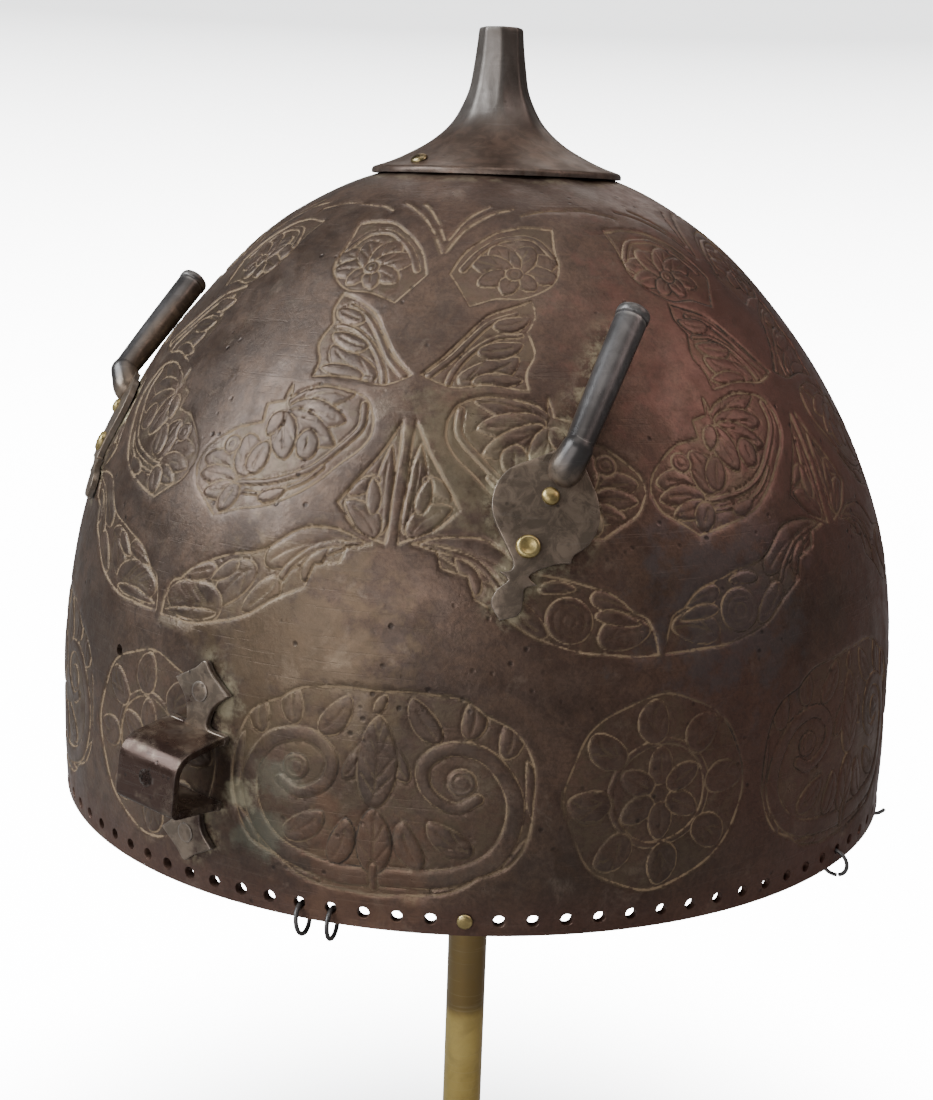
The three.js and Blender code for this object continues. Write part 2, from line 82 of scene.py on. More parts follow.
across = Vector((math.cos(view_azimuth), math.sin(view_azimuth), 0))
away = Vector((-math.sin(view_azimuth), math.cos(view_azimuth), 0))
level = across * math.sin(view_yaw) + away * math.cos(view_yaw)
forward = level * math.cos(view_down) - Vector((0, 0, math.sin(view_down)))
right = across * math.cos(view_yaw) - away * math.sin(view_yaw)
up = right.cross(forward)
camera_right = right * math.cos(view_roll) + up * math.sin(view_roll)
camera_up = up * math.cos(view_roll) - right * math.sin(view_roll)

camera = bpy.data.objects.new("camera", bpy.data.cameras.new("camera"))
bpy.context.scene.collection.objects.link(camera)
axes = Matrix((camera_right, camera_up, -forward)).transposed().to_4x4()
camera_spot = -away * view_distance + Vector((0, 0, rim_z + view_height))
camera.matrix_world = Matrix.Translation(camera_spot) @ axes
camera.data.sensor_width = sensor
camera.data.lens = photo_focal / photo_height * sensor
camera.data.clip_start = 0.01
bpy.context.scene.camera = camera
print("lens", round(camera.data.lens, 2), "mm")

# %% [markdown]
# ## Small helpers for working as by hand
#
# An operator acts on whatever is selected, in whatever mode Blender is in. These helpers put one
# piece alone in hand, open it in edit mode with all of it or some faces picked, and close it again.

# %% Helpers: pieces


def in_hand(piece):
    """Makes piece the only selected object."""
    bpy.ops.object.select_all(action="DESELECT")
    piece.select_set(True)
    bpy.context.view_layer.objects.active = piece
    return piece


def edit(piece, kind="FACE", everything=False):
    in_hand(piece)
    bpy.ops.object.mode_set(mode="EDIT")
    bpy.ops.mesh.select_mode(type=kind)
    bpy.ops.mesh.select_all(action="SELECT" if everything else "DESELECT")


def done():
    bpy.ops.object.mode_set(mode="OBJECT")


def read_out(parts, name):
    flat = np.empty(3 * len(parts))
    parts.foreach_get(name, flat)
    return flat.reshape(-1, 3)


def vertices(piece):
    """The piece's vertices as an array of rows x, y, z."""
    return read_out(piece.data.vertices, "co")


def face_centres(piece):
    return read_out(piece.data.polygons, "center")


def place(piece, points):
    """Puts every vertex of the piece at its row of points."""
    piece.data.vertices.foreach_set("co", np.ascontiguousarray(points, dtype=np.float64).ravel())
    piece.data.update()


def mark(piece, name, values):
    """Keeps a number for each vertex as a named attribute, for the materials."""
    layer = piece.data.attributes.new(name, "FLOAT", "POINT")
    layer.data.foreach_set("value", values.astype(np.float32))


def edit_faces(piece, flags):
    """Opens the piece in edit mode with only the flagged faces picked."""
    mesh = piece.data
    mesh.vertices.foreach_set("select", np.zeros(len(mesh.vertices), bool))
    mesh.edges.foreach_set("select", np.zeros(len(mesh.edges), bool))
    mesh.polygons.foreach_set("select", flags)
    in_hand(piece)
    bpy.context.tool_settings.mesh_select_mode = (False, False, True)
    bpy.ops.object.mode_set(mode="EDIT")


def tidy(piece, merge=1e-6):
    """Merges doubled vertices and turns every face outwards."""
    edit(piece, "VERT", everything=True)
    bpy.ops.mesh.remove_doubles(threshold=merge)
    bpy.ops.mesh.normals_make_consistent(inside=False)
    done()
    return piece


def finish_with(piece, kind, **settings):
    """Adds a modifier, sets it and applies it."""
    in_hand(piece)
    modifier = piece.modifiers.new(kind.lower(), kind)
    for name, value in settings.items():
        setattr(modifier, name, value)
    bpy.ops.object.modifier_apply(modifier=modifier.name)
    return piece


def cut(piece, cutter, operation="DIFFERENCE"):
    finish_with(piece, "BOOLEAN", operation=operation, object=cutter, solver="MANIFOLD")
    bpy.data.objects.remove(cutter, do_unlink=True)
    return piece


def join(pieces, name):
    bpy.ops.object.select_all(action="DESELECT")
    for piece in pieces:
        piece.select_set(True)
    bpy.context.view_layer.objects.active = pieces[0]
    bpy.ops.object.join()
    pieces[0].name = name
    return pieces[0]


def smooth(piece, degrees):
    in_hand(piece)
    bpy.ops.object.shade_smooth_by_angle(angle=math.radians(degrees))
    return piece


def one_finish(piece, name):
    piece.data.materials.clear()
    piece.data.materials.append(finishes[name])


def outline_piece(name, points):
    """A closed ring of edges through the points, made from a circle primitive."""
    bpy.ops.object.select_all(action="DESELECT")
    bpy.ops.mesh.primitive_circle_add(vertices=len(points), radius=1, fill_type="NOTHING")
    piece = bpy.context.object
    piece.name = name
    place(piece, points)
    return piece


def turned(name, profile, steps):
    """Turns a profile of (radius, height) rows about the upright axis, as on a lathe."""
    piece = outline_piece(name, [(radius, 0, height) for radius, height in profile])
    on_axis = np.array([abs(radius) < 1e-7 for radius, _ in profile])
    edit(piece, "EDGE")
    done()
    for line in piece.data.edges:
        line.select = bool(on_axis[line.vertices[0]] and on_axis[line.vertices[1]])
    in_hand(piece)
    bpy.ops.object.mode_set(mode="EDIT")
    bpy.ops.mesh.delete(type="EDGE")
    bpy.ops.mesh.select_all(action="SELECT")
    bpy.ops.mesh.spin(steps=steps, angle=2 * math.pi, center=(0, 0, 0), axis=(0, 0, 1))
    done()
    return tidy(piece)


def owned(piece, slot, *nodes):
    """The piece rides on the helmet's body and stands for its CAD nodes; slot is not used."""
    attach(piece, "root")
    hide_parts(*nodes)
    triangles = sum(len(face.vertices) - 2 for face in piece.data.polygons)
    print(f"{piece.name}: {triangles} triangles")
    return piece


# %% Helpers: smooth steps and lines


def soft_step(x):
    x = np.clip(x, 0, 1)
    return x * x * (3 - 2 * x)


def eased(t, start, end, leave, arrive):
    """The cubic from start to end as t runs from 0 to 1, with these slopes at its ends."""
    return (
        start * (2 * t**3 - 3 * t**2 + 1) + leave * (t**3 - 2 * t**2 + t)
        + end * (3 * t**2 - 2 * t**3) + arrive * (t**3 - t**2)
    )


def smooth_line(points, step, unit=None):
    """
    Points about a step apart on a smooth line through the rows, where a doubled row is a corner.

    unit(height) is how long one unit across is at that height, where it isn't one.
    """
    p = np.array([points[0], *points, points[-1]], float)
    rows = []
    for a, b, c, d in zip(p, p[1:], p[2:], p[3:]):
        length = math.hypot((c[0] - b[0]) * (unit(b[1]) if unit else 1), c[1] - b[1])
        if length < 1e-9:
            continue
        t = np.linspace(0, 1, max(1, math.ceil(length / step)), endpoint=False)[:, None]
        rows.append(eased(t, b, c, (c - a) / 2, (d - b) / 2))
    return np.concatenate([*rows, p[-1:]])


# %% [markdown]
# ## Small helpers for materials
#
# A material is a web of nodes. Each helper adds one node to a tree and gives back its output, so a
# material reads as a list of layers, from the lowest up.

# %% Helpers: nodes


def fill(tree, node, inputs):
    """Gives a node its inputs, each of them a value or another node's output."""
    for name, value in inputs.items():
        if isinstance(value, bpy.types.NodeSocket):
            tree.links.new(value, node.inputs[name])
        else:
            node.inputs[name].default_value = value


def put(tree, kind, inputs=None, **settings):
    """Adds a node, sets it and gives it its inputs."""
    made = tree.nodes.new(kind)
    for name, value in settings.items():
        setattr(made, name, value)
    fill(tree, made, inputs or {})
    return made


def noise(tree, vector, scale, detail=4.0, roughness=0.55, distortion=0.0):
    inputs = {"Vector": vector, "Scale": scale, "Detail": detail, "Roughness": roughness}
    return put(tree, "ShaderNodeTexNoise", {**inputs, "Distortion": distortion}).outputs["Fac"]


def span(tree, value, low, high, to_low=0.0, to_high=1.0, steps="SMOOTHSTEP"):
    """Carries value from low and high over to to_low and to_high, held at both ends."""
    inputs = {"Value": value, "From Min": low, "From Max": high, "To Min": to_low, "To Max": to_high}
    return put(tree, "ShaderNodeMapRange", inputs, interpolation_type=steps).outputs["Result"]


def maths(tree, operation, a, b=0.0, clamp=False):
    return put(tree, "ShaderNodeMath", {0: a, 1: b}, operation=operation, use_clamp=clamp).outputs[0]


def times(tree, a, b):
    return maths(tree, "MULTIPLY", a, b)


def opaque(colour):
    return (*colour, 1) if isinstance(colour, tuple) else colour


def mixed(tree, factor, a, b):
    inputs = {0: factor, 6: opaque(a), 7: opaque(b)}
    return put(tree, "ShaderNodeMix", inputs, data_type="RGBA").outputs[2]


def laid(tree, colour, mask, strength, tint):
    """The colour with a tint laid over it where the mask is, at this strength."""
    return mixed(tree, times(tree, mask, strength), colour, tint)


def object_place(tree):
    return put(tree, "ShaderNodeTexCoord").outputs["Object"]


def attribute(tree, name):
    return put(tree, "ShaderNodeAttribute", attribute_name=name).outputs["Fac"]


def new_group(name, inputs, outputs):
    """A node group. An input without a value of its own is a vector, and the others are numbers."""
    group = bpy.data.node_groups.new(name, "ShaderNodeTree")
    for socket_name, value in inputs.items():
        kind = "NodeSocketVector" if value is None else "NodeSocketFloat"
        made = group.interface.new_socket(name=socket_name, in_out="INPUT", socket_type=kind)
        if value is not None:
            made.default_value = value
    for socket_name in outputs:
        group.interface.new_socket(name=socket_name, in_out="OUTPUT", socket_type="NodeSocketFloat")
    start = group.nodes.new("NodeGroupInput")
    end = group.nodes.new("NodeGroupOutput")
    return group, start.outputs, end.inputs


def use_group(tree, group, **inputs):
    return put(tree, "ShaderNodeGroup", inputs, node_tree=group).outputs


finishes = {}


def new_finish(name):
    """A material, kept in finishes under this name; gives back its tree and its shader."""
    finishes[name] = bpy.data.materials.new(name)
    finishes[name].use_nodes = True
    tree = finishes[name].node_tree
    return tree, tree.nodes["Principled BSDF"]


# %% [markdown]
# ## The room
#
# The helmet stands on a pale floor that turns up into a pale wall all round it, as in a
# photographer's cove, so there is no horizon from any side. The light is soft. A window-like panel
# far round to the left, a little above the helmet, gives the broad cool sheen on the left of the
# bowl. A panel overhead lights the crown, and a weak warm one fills the right.

# %% Cove
cove_radius = 2.2
cove_bend = 0.9
cove_wall = 2.6
bend_angles = np.linspace(0, math.pi / 2, 13)
cove_sheet = 0.05
cove_profile = [(0, 0), (cove_radius - cove_bend, 0)]
cove_profile += [
    (cove_radius - cove_bend + cove_bend * math.sin(a), cove_bend - cove_bend * math.cos(a))
    for a in bend_angles[1:]
]
cove_profile += [
    (cove_radius, cove_wall), (cove_radius + cove_sheet, cove_wall),
    (cove_radius + cove_sheet, -cove_sheet), (0, -cove_sheet),
]
cove = turned("cove", cove_profile, 96)
smooth(cove, 40)

# %% [markdown]
# The camera must see a nearly white cove, as in the photo, but the dark iron must not mirror it
# all over, because the real room behind the camera was dim. So the cove is pale and a little
# luminous to the camera only, and grey to every other ray. Its glow is dimmed in a ring round the
# foot, a painted shadow, which also lets the real soft shadow there show.

# %% Cove material
tree, shader = new_finish("pale_cove")
at = object_place(tree)
seen = put(tree, "ShaderNodeLightPath").outputs["Is Camera Ray"]
tree.links.new(mixed(tree, seen, (0.34, 0.34, 0.34), (0.9, 0.9, 0.9)), shader.inputs["Base Color"])
# The wall behind the helmet is brighter low down than high up.
level = put(tree, "ShaderNodeSeparateXYZ", {"Vector": at}).outputs["Z"]
fall = span(tree, level, 0.0, 0.56, 14.0, 2.0, "LINEAR")
# Painted shadow: the glow is dimmed round the stand's foot, out to 0.24 m from the axis.
from_foot = put(tree, "ShaderNodeVectorMath", {0: at}, operation="LENGTH").outputs["Value"]
painted_foot_shadow = span(tree, from_foot, 0.05, 0.24, 0.05, 1.0)
tree.links.new(times(tree, times(tree, fall, painted_foot_shadow), seen), shader.inputs["Emission Strength"])
shader.inputs["Emission Color"].default_value = (1.0, 1.0, 1.0, 1)
shader.inputs["Roughness"].default_value = 0.9
shader.inputs["Specular IOR Level"].default_value = 0.2
one_finish(cove, "pale_cove")

# %% Lights
room = bpy.data.worlds.new("room")
room.use_nodes = True
room_light = room.node_tree.nodes["Background"].inputs
room_light["Color"].default_value = (0.93, 0.95, 1.0, 1)
room_light["Strength"].default_value = 0.16
bpy.context.scene.world = room

bowl_middle = Vector((0, 0, rim_z + 70 * MM))
# Azimuth from the front towards +X, elevation, distance in metres, size, power in watts, colour.
panels = [
    ("window", -40, 36, 1.3, 0.85, 34, (0.82, 0.92, 1.0)),
    ("front_fill", 5, 4, 1.6, 1.3, 24, (0.95, 0.97, 1.0)),
    ("overhead", 60, 80, 1.5, 1.2, 10, (1.0, 0.99, 0.97)),
    ("warm_fill", 116, 40, 1.5, 0.8, 6.5, (1.0, 0.84, 0.82)),
    ("behind", 205, 40, 1.6, 1.0, 5, (1.0, 1.0, 1.0)),
]
for panel_name, azimuth, elevation, distance, size, power, colour in panels:
    light = bpy.data.objects.new(panel_name, bpy.data.lights.new(panel_name, "AREA"))
    bpy.context.scene.collection.objects.link(light)
    light.data.shape = "SQUARE"
    light.data.size = size
    light.data.energy = power
    light.data.color = colour
    light.visible_camera = False
    turn, tilt = math.radians(azimuth), math.radians(elevation)
    towards = Vector((math.sin(turn) * math.cos(tilt), -math.cos(turn) * math.cos(tilt), math.sin(tilt)))
    light.location = bowl_middle + towards * distance
    light.rotation_euler = towards.to_track_quat("Z", "Y").to_euler()
    print(panel_name, [round(c, 2) for c in light.location])


# %% [markdown]
# ## The dome's own sizes
#
# Everything sits on the bowl, so its shape comes first. The outline from rim to apex is a half
# ellipse made a little fuller towards the top, and the plan is a touch longer than it is wide. A
# place on it is named as a chaser would name it: degrees round from the front, and millimetres up
# along the metal from the rim.

# %% Meridian
rim_radius = 99.0
dome_height = 144.4
wall = 1.8
cross_scale = 0.99
length_scale = 1.01
fullness_knots = [1, 1.015, 1.041, 1.064, 1.067, 1.078, 1.165]


def fullness(t):
    last = len(fullness_knots) - 1
    knots = np.array(fullness_knots)
    slopes = np.gradient(knots)
    cell = np.clip((t * last).astype(int), 0, last - 1)
    return eased(t * last - cell, knots[cell], knots[cell + 1], slopes[cell], slopes[cell + 1])


meridian_turn = np.linspace(0, math.pi / 2, 1201)
meridian_z = dome_height * np.sin(meridian_turn)
meridian_r = rim_radius * np.cos(meridian_turn) * fullness(meridian_z / dome_height)
meridian_r[-1] = 0
meridian_s = np.concatenate([[0], np.cumsum(np.hypot(np.diff(meridian_r), np.diff(meridian_z)))])
meridian_dr = np.gradient(meridian_r, meridian_s)
meridian_dz = np.gradient(meridian_z, meridian_s)
meridian_angle = np.arctan2(meridian_z, meridian_r)
apex_s = meridian_s[-1]
print("rim to apex along the metal:", round(apex_s, 1), "mm")

# %% Places on the dome


def radius_at(s):
    return np.interp(s, meridian_s, meridian_r)


def s_at_height(z):
    return np.interp(z, meridian_z, meridian_s)


def s_at_radius(radius):
    return np.interp(-radius, -meridian_r, meridian_s)


def dome_frames(azimuth, s):
    """Rows of origin, side, up and normal, in millimetres above the rim's middle."""
    azimuth, s = np.broadcast_arrays(np.asarray(azimuth, float), np.asarray(s, float))
    turn = np.radians(azimuth)
    outward = np.stack([np.sin(turn), -np.cos(turn), np.zeros_like(turn)], -1)
    side = np.stack([np.cos(turn), np.sin(turn), np.zeros_like(turn)], -1)
    lift = np.array([0.0, 0.0, 1.0])
    slope_r = np.interp(s, meridian_s, meridian_dr)[..., None]
    slope_z = np.interp(s, meridian_s, meridian_dz)[..., None]
    up = outward * slope_r + lift * slope_z
    normal = np.cross(side, up)
    normal /= np.linalg.norm(normal, axis=-1, keepdims=True)
    origin = outward * radius_at(s)[..., None] * [cross_scale, length_scale, 1]
    origin = origin + lift * np.interp(s, meridian_s, meridian_z)[..., None]
    return origin, side, up, normal


def on_dome(azimuth, s, stand_off=0.0):
    """Points in metres in the shared frame."""
    origin, _, _, normal = dome_frames(azimuth, s)
    return (origin + normal * np.asarray(stand_off)[..., None]) * MM + [0, 0, rim_z]


def chart_of(points):
    """The azimuth in degrees and the walked length of points in metres on or near the dome."""
    x, y = points[:, 0] / cross_scale / MM, points[:, 1] / length_scale / MM
    height = (points[:, 2] - rim_z) / MM
    azimuth = np.degrees(np.arctan2(x, -y))
    return azimuth, np.interp(np.arctan2(height, np.hypot(x, y)), meridian_angle, meridian_s)


def walk(anchor, across_mm, along_mm, stand_off=0.0):
    """Frames reached by walking across and along the dome from a leaning anchor."""
    lean = math.radians(anchor["lean"])
    across_mm, along_mm = np.asarray(across_mm, float), np.asarray(along_mm, float)
    sideways = across_mm * math.cos(lean) + along_mm * math.sin(lean)
    upwards = along_mm * math.cos(lean) - across_mm * math.sin(lean)
    start_s = s_at_height(anchor["height"])
    end_s = start_s + upwards
    end_height = np.interp(end_s, meridian_s, meridian_z)
    middle = s_at_height((anchor["height"] + end_height) / 2)
    azimuth = (anchor["azimuth"] + np.degrees(sideways / radius_at(middle))) * anchor.get("mirror", 1)
    origin, side, up, normal = dome_frames(azimuth, end_s)
    return origin + normal * np.asarray(stand_off)[..., None], side, up, normal


def dome_place(azimuth, s):
    return tuple(row[0] for row in dome_frames([azimuth], [s]))


def anchored(anchor, across_mm, along_mm):
    """Frame on the dome reached from a leaning anchor, turned with its lean."""
    return tuple(row[0] for row in walk(anchor, [across_mm], [along_mm]))


def moved_to(piece, frame_row):
    """Puts a piece modelled about +Z at a frame given in millimetres above the rim."""
    origin, side, up, normal = frame_row
    turned_points = vertices(piece) @ np.stack([side, up, normal], -1).T
    place(piece, turned_points + origin * MM + [0, 0, rim_z])
    return piece


def lathe(name, rows, steps=32):
    return turned(name, [(radius * MM, height * MM) for radius, height in rows], steps)


def off_dome(points):
    """The chart place of points in metres, and how many millimetres each stands off the metal."""
    azimuth, s = chart_of(points)
    _, _, _, normal = dome_frames(azimuth, s)
    return azimuth, s, ((points - on_dome(azimuth, s)) * normal).sum(axis=1) / MM


# %% [markdown]
# ## The chased ornament
#
# The chaser divided the dome into six bays. In each bay two swags hang from pointed panels, sprays
# of leaves fill the fields above them, scrolling bands rise between the fields to flower panels
# under the crown, and a wide cartouche and a round medallion stand below. Each was outlined with a
# graver, then the ground between the leaves was sunk with small punches.
#
# One half bay is charted and repeated twelve times, mirrored in turn, with a little unsteadiness
# in each copy, as a hand leaves it. A chart place is (degrees from the bay's axis, millimetres up
# the metal). The cartouches and medallions carry leaf scrolls.

# %% Chart words


def millimetres(s):
    """Millimetres to a degree of azimuth at this height on the dome."""
    return math.radians(1) * radius_at(s)


def curve(points):
    """Closely spaced points of a smooth line through chart points."""
    return smooth_line(points, 0.9, millimetres)


def beside(points, offset):
    """The line shifted sideways by offset millimetres, to its left when walked."""
    scale = millimetres(points[:, 1])
    step = np.gradient(points * np.stack([scale, np.ones_like(scale)], -1), axis=0)
    step /= np.linalg.norm(step, axis=1, keepdims=True) + 1e-9
    offset = np.asarray(offset) * np.ones(len(points))
    return points + np.stack([-step[:, 1] * offset / scale, step[:, 0] * offset], -1)


leaf_fullness = 1.4


def leaf(base, tip, width, bow=0.0, veins=None):
    """A raised pointed leaf with a midrib; bow bends it to its left."""
    width = width * leaf_fullness
    line = curve([base, tip])
    t = np.linspace(0, 1, len(line))
    line = beside(line, bow * np.sin(math.pi * t))
    spread = width / 2 * np.sin(math.pi * t**0.8)
    marks = [("vein", line[(t > 0.06) & (t < 0.8)], 0.26)] if width > 3.6 else []
    count = veins if veins is not None else int(max(0, width - 4.4) * 1.3)
    for k in range(count):
        at = int((0.2 + 0.5 * k / max(count - 1, 1)) * (len(line) - 1))
        ahead = min(at + 4, len(line) - 1)
        for hand in (-1, 1):
            end = beside(line, hand * spread * 0.8)[ahead]
            marks.append(("vein", curve([line[at], end]), 0.2))
    return [("body", line, spread), *marks]


def leaves(*rows):
    return [cut_mark for row in rows for cut_mark in leaf(*row)]


def stem(points, width, end_width=None):
    """A raised ribbon between two cut lines."""
    line = curve(points)
    end_width = width if end_width is None else end_width
    return [("body", line, np.linspace(width, end_width, len(line)) / 2)]


def bud(v, s, radius, eye=0.0):
    spot = np.array([[v, s]], float)
    rows = [("body", spot, np.array([radius]))]
    if eye:
        rows.append(("vein", circle(v, s, eye), 0.25))
    return rows


def circle(v, s, radius, start=0, sweep=360):
    turn = np.radians(np.linspace(start, start + sweep, max(10, int(radius * 9))))
    return np.stack([v + radius * np.cos(turn) / millimetres(s), s + radius * np.sin(turn)], -1)


def round_about(v, s, angle, radius):
    """The chart place at this angle and distance from a centre."""
    turn = math.radians(angle)
    return (v + radius * math.cos(turn) / millimetres(s), s + radius * math.sin(turn))


def spray(v, s, petals):
    """Leaves about one centre, each row (angle, from, to, width, bow)."""
    return leaves(*(
        (round_about(v, s, angle, inner), round_about(v, s, angle, outer), width, bow)
        for angle, inner, outer, width, bow in petals
    ))


def panel(points):
    """An outlined field whose ground is sunk."""
    return [("panel", curve([points[0], points[0], *points[1:], points[0], points[0]]), 0.42)]


def cut_line(points, width=0.42):
    return [("line", curve(points), width)]


# %% Chart: the half bay


def pointed_panel():
    return (
        panel([(0.8, 97.5), (3.4, 90.5), (7.4, 81), (7.4, 81), (4.6, 76.4), (0.8, 73.8), (0.8, 73.8)])
        + leaf((1.5, 75.5), (1.9, 93), 2.6, -0.3)
        + leaf((2.2, 75.3), (6.6, 81.2), 3.4, 1.0)
        + leaf((2.7, 86), (6.2, 82.4), 2.2, 0.5)
        + leaf((2.9, 79.5), (3.5, 86.5), 2.0, 0.2)
    )


def swag(rosette):
    rows = panel([
        (2.4, 73.8), (7, 75.9), (11, 75.2), (15.2, 70), (20, 67.8), (24.6, 65), (27, 61.6), (27, 61.6),
        (28.4, 60.6), (29.2, 57.2), (29.2, 57.2), (29.5, 53.8), (29.5, 53.8), (25, 53.7), (20, 55),
        (16, 57.6), (13, 61.2), (9.6, 64.6), (9.6, 64.6), (8.7, 68.8), (8.7, 68.8), (5.7, 69.9),
        (5.7, 69.9), (5.2, 72.8), (5.2, 72.8),
    ])
    rows += leaf((14.6, 67), (3.4, 74), 5.2, -2.4, 0)
    rows += stem([(3.6, 73.7), (8.5, 72.3), (11.4, 68.4), (12.6, 65.3)], 1.0, 1.3)
    rows += leaves(
        ((9.8, 65.6), (7.2, 72), 2.2, -0.6), ((13.2, 64.6), (17.2, 58), 3.6, -0.8),
    )
    if rosette:
        rows += bud(19.6, 60.6, 4.3, 2.9) + [("vein", circle(19.6, 60.6, 1.3), 0.25)]
        rows += leaves(
            ((23.2, 56.4), (28.6, 58.6), 4.4, 0.6), ((22.4, 64.6), (26.8, 62), 3.0, 0.3),
            ((16.4, 66.4), (20.6, 66.2), 1.8, 0.4), ((22.6, 61.2), (27.6, 59.6), 2.0, 0.2),
        )
    else:
        rows += leaves(
            ((16.4, 66), (20.6, 57.4), 4.6, 1.2), ((20.8, 58), (28.6, 58.2), 6.4, -0.4, 6),
            ((21.8, 64.8), (27, 62), 2.8, 0.5), ((18.6, 66.8), (22.2, 62.6), 2.0, -0.3),
            ((20.6, 56.2), (28.9, 55), 1.6, -0.1),
        )
    return rows


def leaf_panel():
    rows = panel([
        (4.8, 98), (6, 101.4), (8.4, 103.2), (12.4, 103.6), (16, 102.2), (17.7, 100.2), (17.7, 100.2),
        (18.2, 103.2), (18.2, 103.2), (18.6, 99.4), (18.6, 99.4), (21.2, 98.4), (21.2, 98.4),
        (21.1, 94.6), (21.1, 94.6), (24.6, 93.4), (24.6, 93.4), (27, 91), (29.2, 87.6), (29.7, 84.4),
        (29.7, 84.4), (28.6, 80.6), (26.8, 78.4), (24, 75.3), (24, 75.3), (20.8, 76.7), (17, 78.3),
        (13.6, 80.8), (10.6, 84.6), (8.3, 88.4), (6.2, 91.4), (4.9, 94.6),
    ])
    rows += leaves(
        ((17.4, 98.9), (8.2, 102.6), 4.6, -1.2), ((17.2, 97.8), (8.6, 97), 4.0, -0.4),
        ((17, 97), (9.6, 92), 4.0, 0.2), ((17.9, 96.4), (16, 87.8), 4.2, 0.4),
        ((18.4, 96.8), (19.8, 92), 2.4, 0.2), ((13.6, 93), (13.3, 88.6), 3.6, 0.0),
    )
    rows += stem([(6.4, 100.6), (6.4, 96), (9, 91.4), (12.6, 86), (17.4, 83), (22.4, 81.8)], 1.5, 1.2)
    rows += stem([(10.4, 87.4), (13, 83.4), (17.4, 80.6), (21.8, 80)], 1.0, 0.8)
    rows += leaves(
        ((22.2, 83.4), (28.8, 86), 4.2, 0.9), ((22.6, 82.4), (28.6, 82.6), 3.2, 0.5),
        ((22.4, 81.2), (27, 79.2), 2.8, -0.2), ((22, 80.8), (23.2, 76.2), 3.2, 0.3),
        ((21.4, 84.2), (23, 91.8), 4.4, 0.6),
    )
    rows += bud(24.9, 89.6, 2.0, 1.0)
    rows += leaves(
        ((20.2, 84.4), (19.2, 90.6), 3.4, -0.4), ((18.2, 79.6), (14.6, 82), 2.0, 0.3),
    )
    return rows


def garland():
    rows = panel([
        (0.7, 107.4), (3.4, 111.3), (6.2, 116.2), (9.4, 121.2), (13.2, 123.6), (17, 125.3), (17, 125.3),
        (17.4, 121.4), (16, 118), (16, 118), (16.8, 113), (15.5, 109), (15.6, 105.3), (15.6, 105.3),
        (9.6, 106.2), (5.4, 105.2), (3.2, 105.8),
    ])
    rows += stem([(1.8, 107.2), (4.6, 111.2), (7.2, 116), (10.2, 120), (14.4, 122.4)], 1.5, 1.1)
    rows += stem([(4.6, 105.9), (5.4, 109), (7.6, 113.4), (11, 116.6), (15, 117.4)], 1.3, 0.9)
    rows += leaves(
        ((6.2, 106.6), (14.4, 112.6), 4.2, -0.8), ((8, 106.6), (15, 107.4), 2.4, 0.2),
        ((8.6, 113.4), (15.2, 115.6), 2.8, -0.6), ((11, 119.4), (16.6, 121.4), 2.6, -0.5),
    )
    return rows


def flower_panel():
    rows = panel([
        (2.2, 131.4), (4.8, 138.2), (9.8, 143.4), (16, 145.8), (23.4, 145.2), (23.4, 145.2),
        (22.6, 139.5), (22.8, 134), (20.8, 129.4), (16.4, 126.3), (11, 126), (6.6, 124), (6.6, 124),
        (4.4, 127.8),
    ])
    rows += spray(14, 132.4, [
        (20, 1.2, 9.4, 4.2, 0.6), (-12, 1.2, 8.6, 3.6, 0.3), (62, 1.2, 8.0, 4.2, 0.3),
        (118, 1.2, 8.4, 4.2, -0.3), (160, 1.2, 9.0, 4.0, -0.6), (205, 1.2, 7.2, 3.2, -0.4),
        (-52, 1.2, 5.6, 2.8, 0.2), (250, 1.2, 5.4, 2.8, 0.0),
    ])
    rows += bud(14, 132.4, 1.7, 0.8)
    rows += stem([(22, 137), (18.6, 142), (12.6, 142.4), (7.6, 138.6), (4.4, 132.8)], 1.2, 1.4)
    return rows


def crown_lines():
    return (
        cut_line([(0.4, 137.2), (3.2, 143.6), (8.6, 149.4), (15, 152.6)], 0.45)
        + cut_line([(0.4, 141), (2.6, 146), (6, 150.5), (9, 153)], 0.4)
        + cut_line([(17, 149.8), (22, 151.6), (29.6, 152.6)], 0.36)
    )


def half_bay(copy):
    return (
        pointed_panel() + swag(rosette=copy % 4 in (1, 2)) + leaf_panel() + garland()
        + flower_panel() + crown_lines()
    )


# %% Chart: the lower band
cartouche_middle, cartouche_reach, cartouche_rise = 27.2, 17.3, 19.8


def cartouche_outline():
    turn = np.radians(np.linspace(0, 360, 49))
    # A squarish oval with a shallow cusp at each shoulder.
    shoulder = np.abs(np.abs(np.degrees(np.arctan2(np.sin(turn), np.abs(np.cos(turn))))) - 52)
    lobe = 1 - 0.05 * np.exp(-((shoulder / 9) ** 2))
    v = cartouche_reach * np.sign(np.cos(turn)) * np.abs(np.cos(turn)) ** 0.72 * lobe
    rise = cartouche_rise * np.sign(np.sin(turn)) * np.abs(np.sin(turn)) ** 0.8 * lobe
    return [("panel", curve(np.stack([v, cartouche_middle + rise], -1)), 0.45)]


def half_cartouche():
    rows = stem(
        [(0.9, 10.6), (5.4, 11), (11, 14), (14, 20), (14.4, 28), (12, 35), (8, 37),
         (5.2, 33.6), (5.4, 28.6), (8.2, 25.6), (10.6, 27.4)], 4.0, 2.2,
    )
    rows += bud(9.0, 30.6, 2.6, 1.5)
    return rows + leaves(
        ((4.6, 13.4), (3.2, 22), 3.6, 0.9), ((10, 17.2), (5.8, 22.6), 3.8, 0.9),
        ((6, 8.6), (11.6, 9.8), 1.7, -0.4), ((13.4, 13.4), (16, 20), 2.4, -0.8),
        ((16.2, 24), (15.6, 35), 2.0, -0.8), ((13.4, 36), (13.2, 43), 3.2, -1.0),
        ((9.4, 39.4), (9.6, 46), 3.2, -0.6), ((6.4, 38.4), (3.4, 45.6), 3.4, 0.8),
        ((3.4, 30), (1.6, 37), 2.6, 0.5),
    )


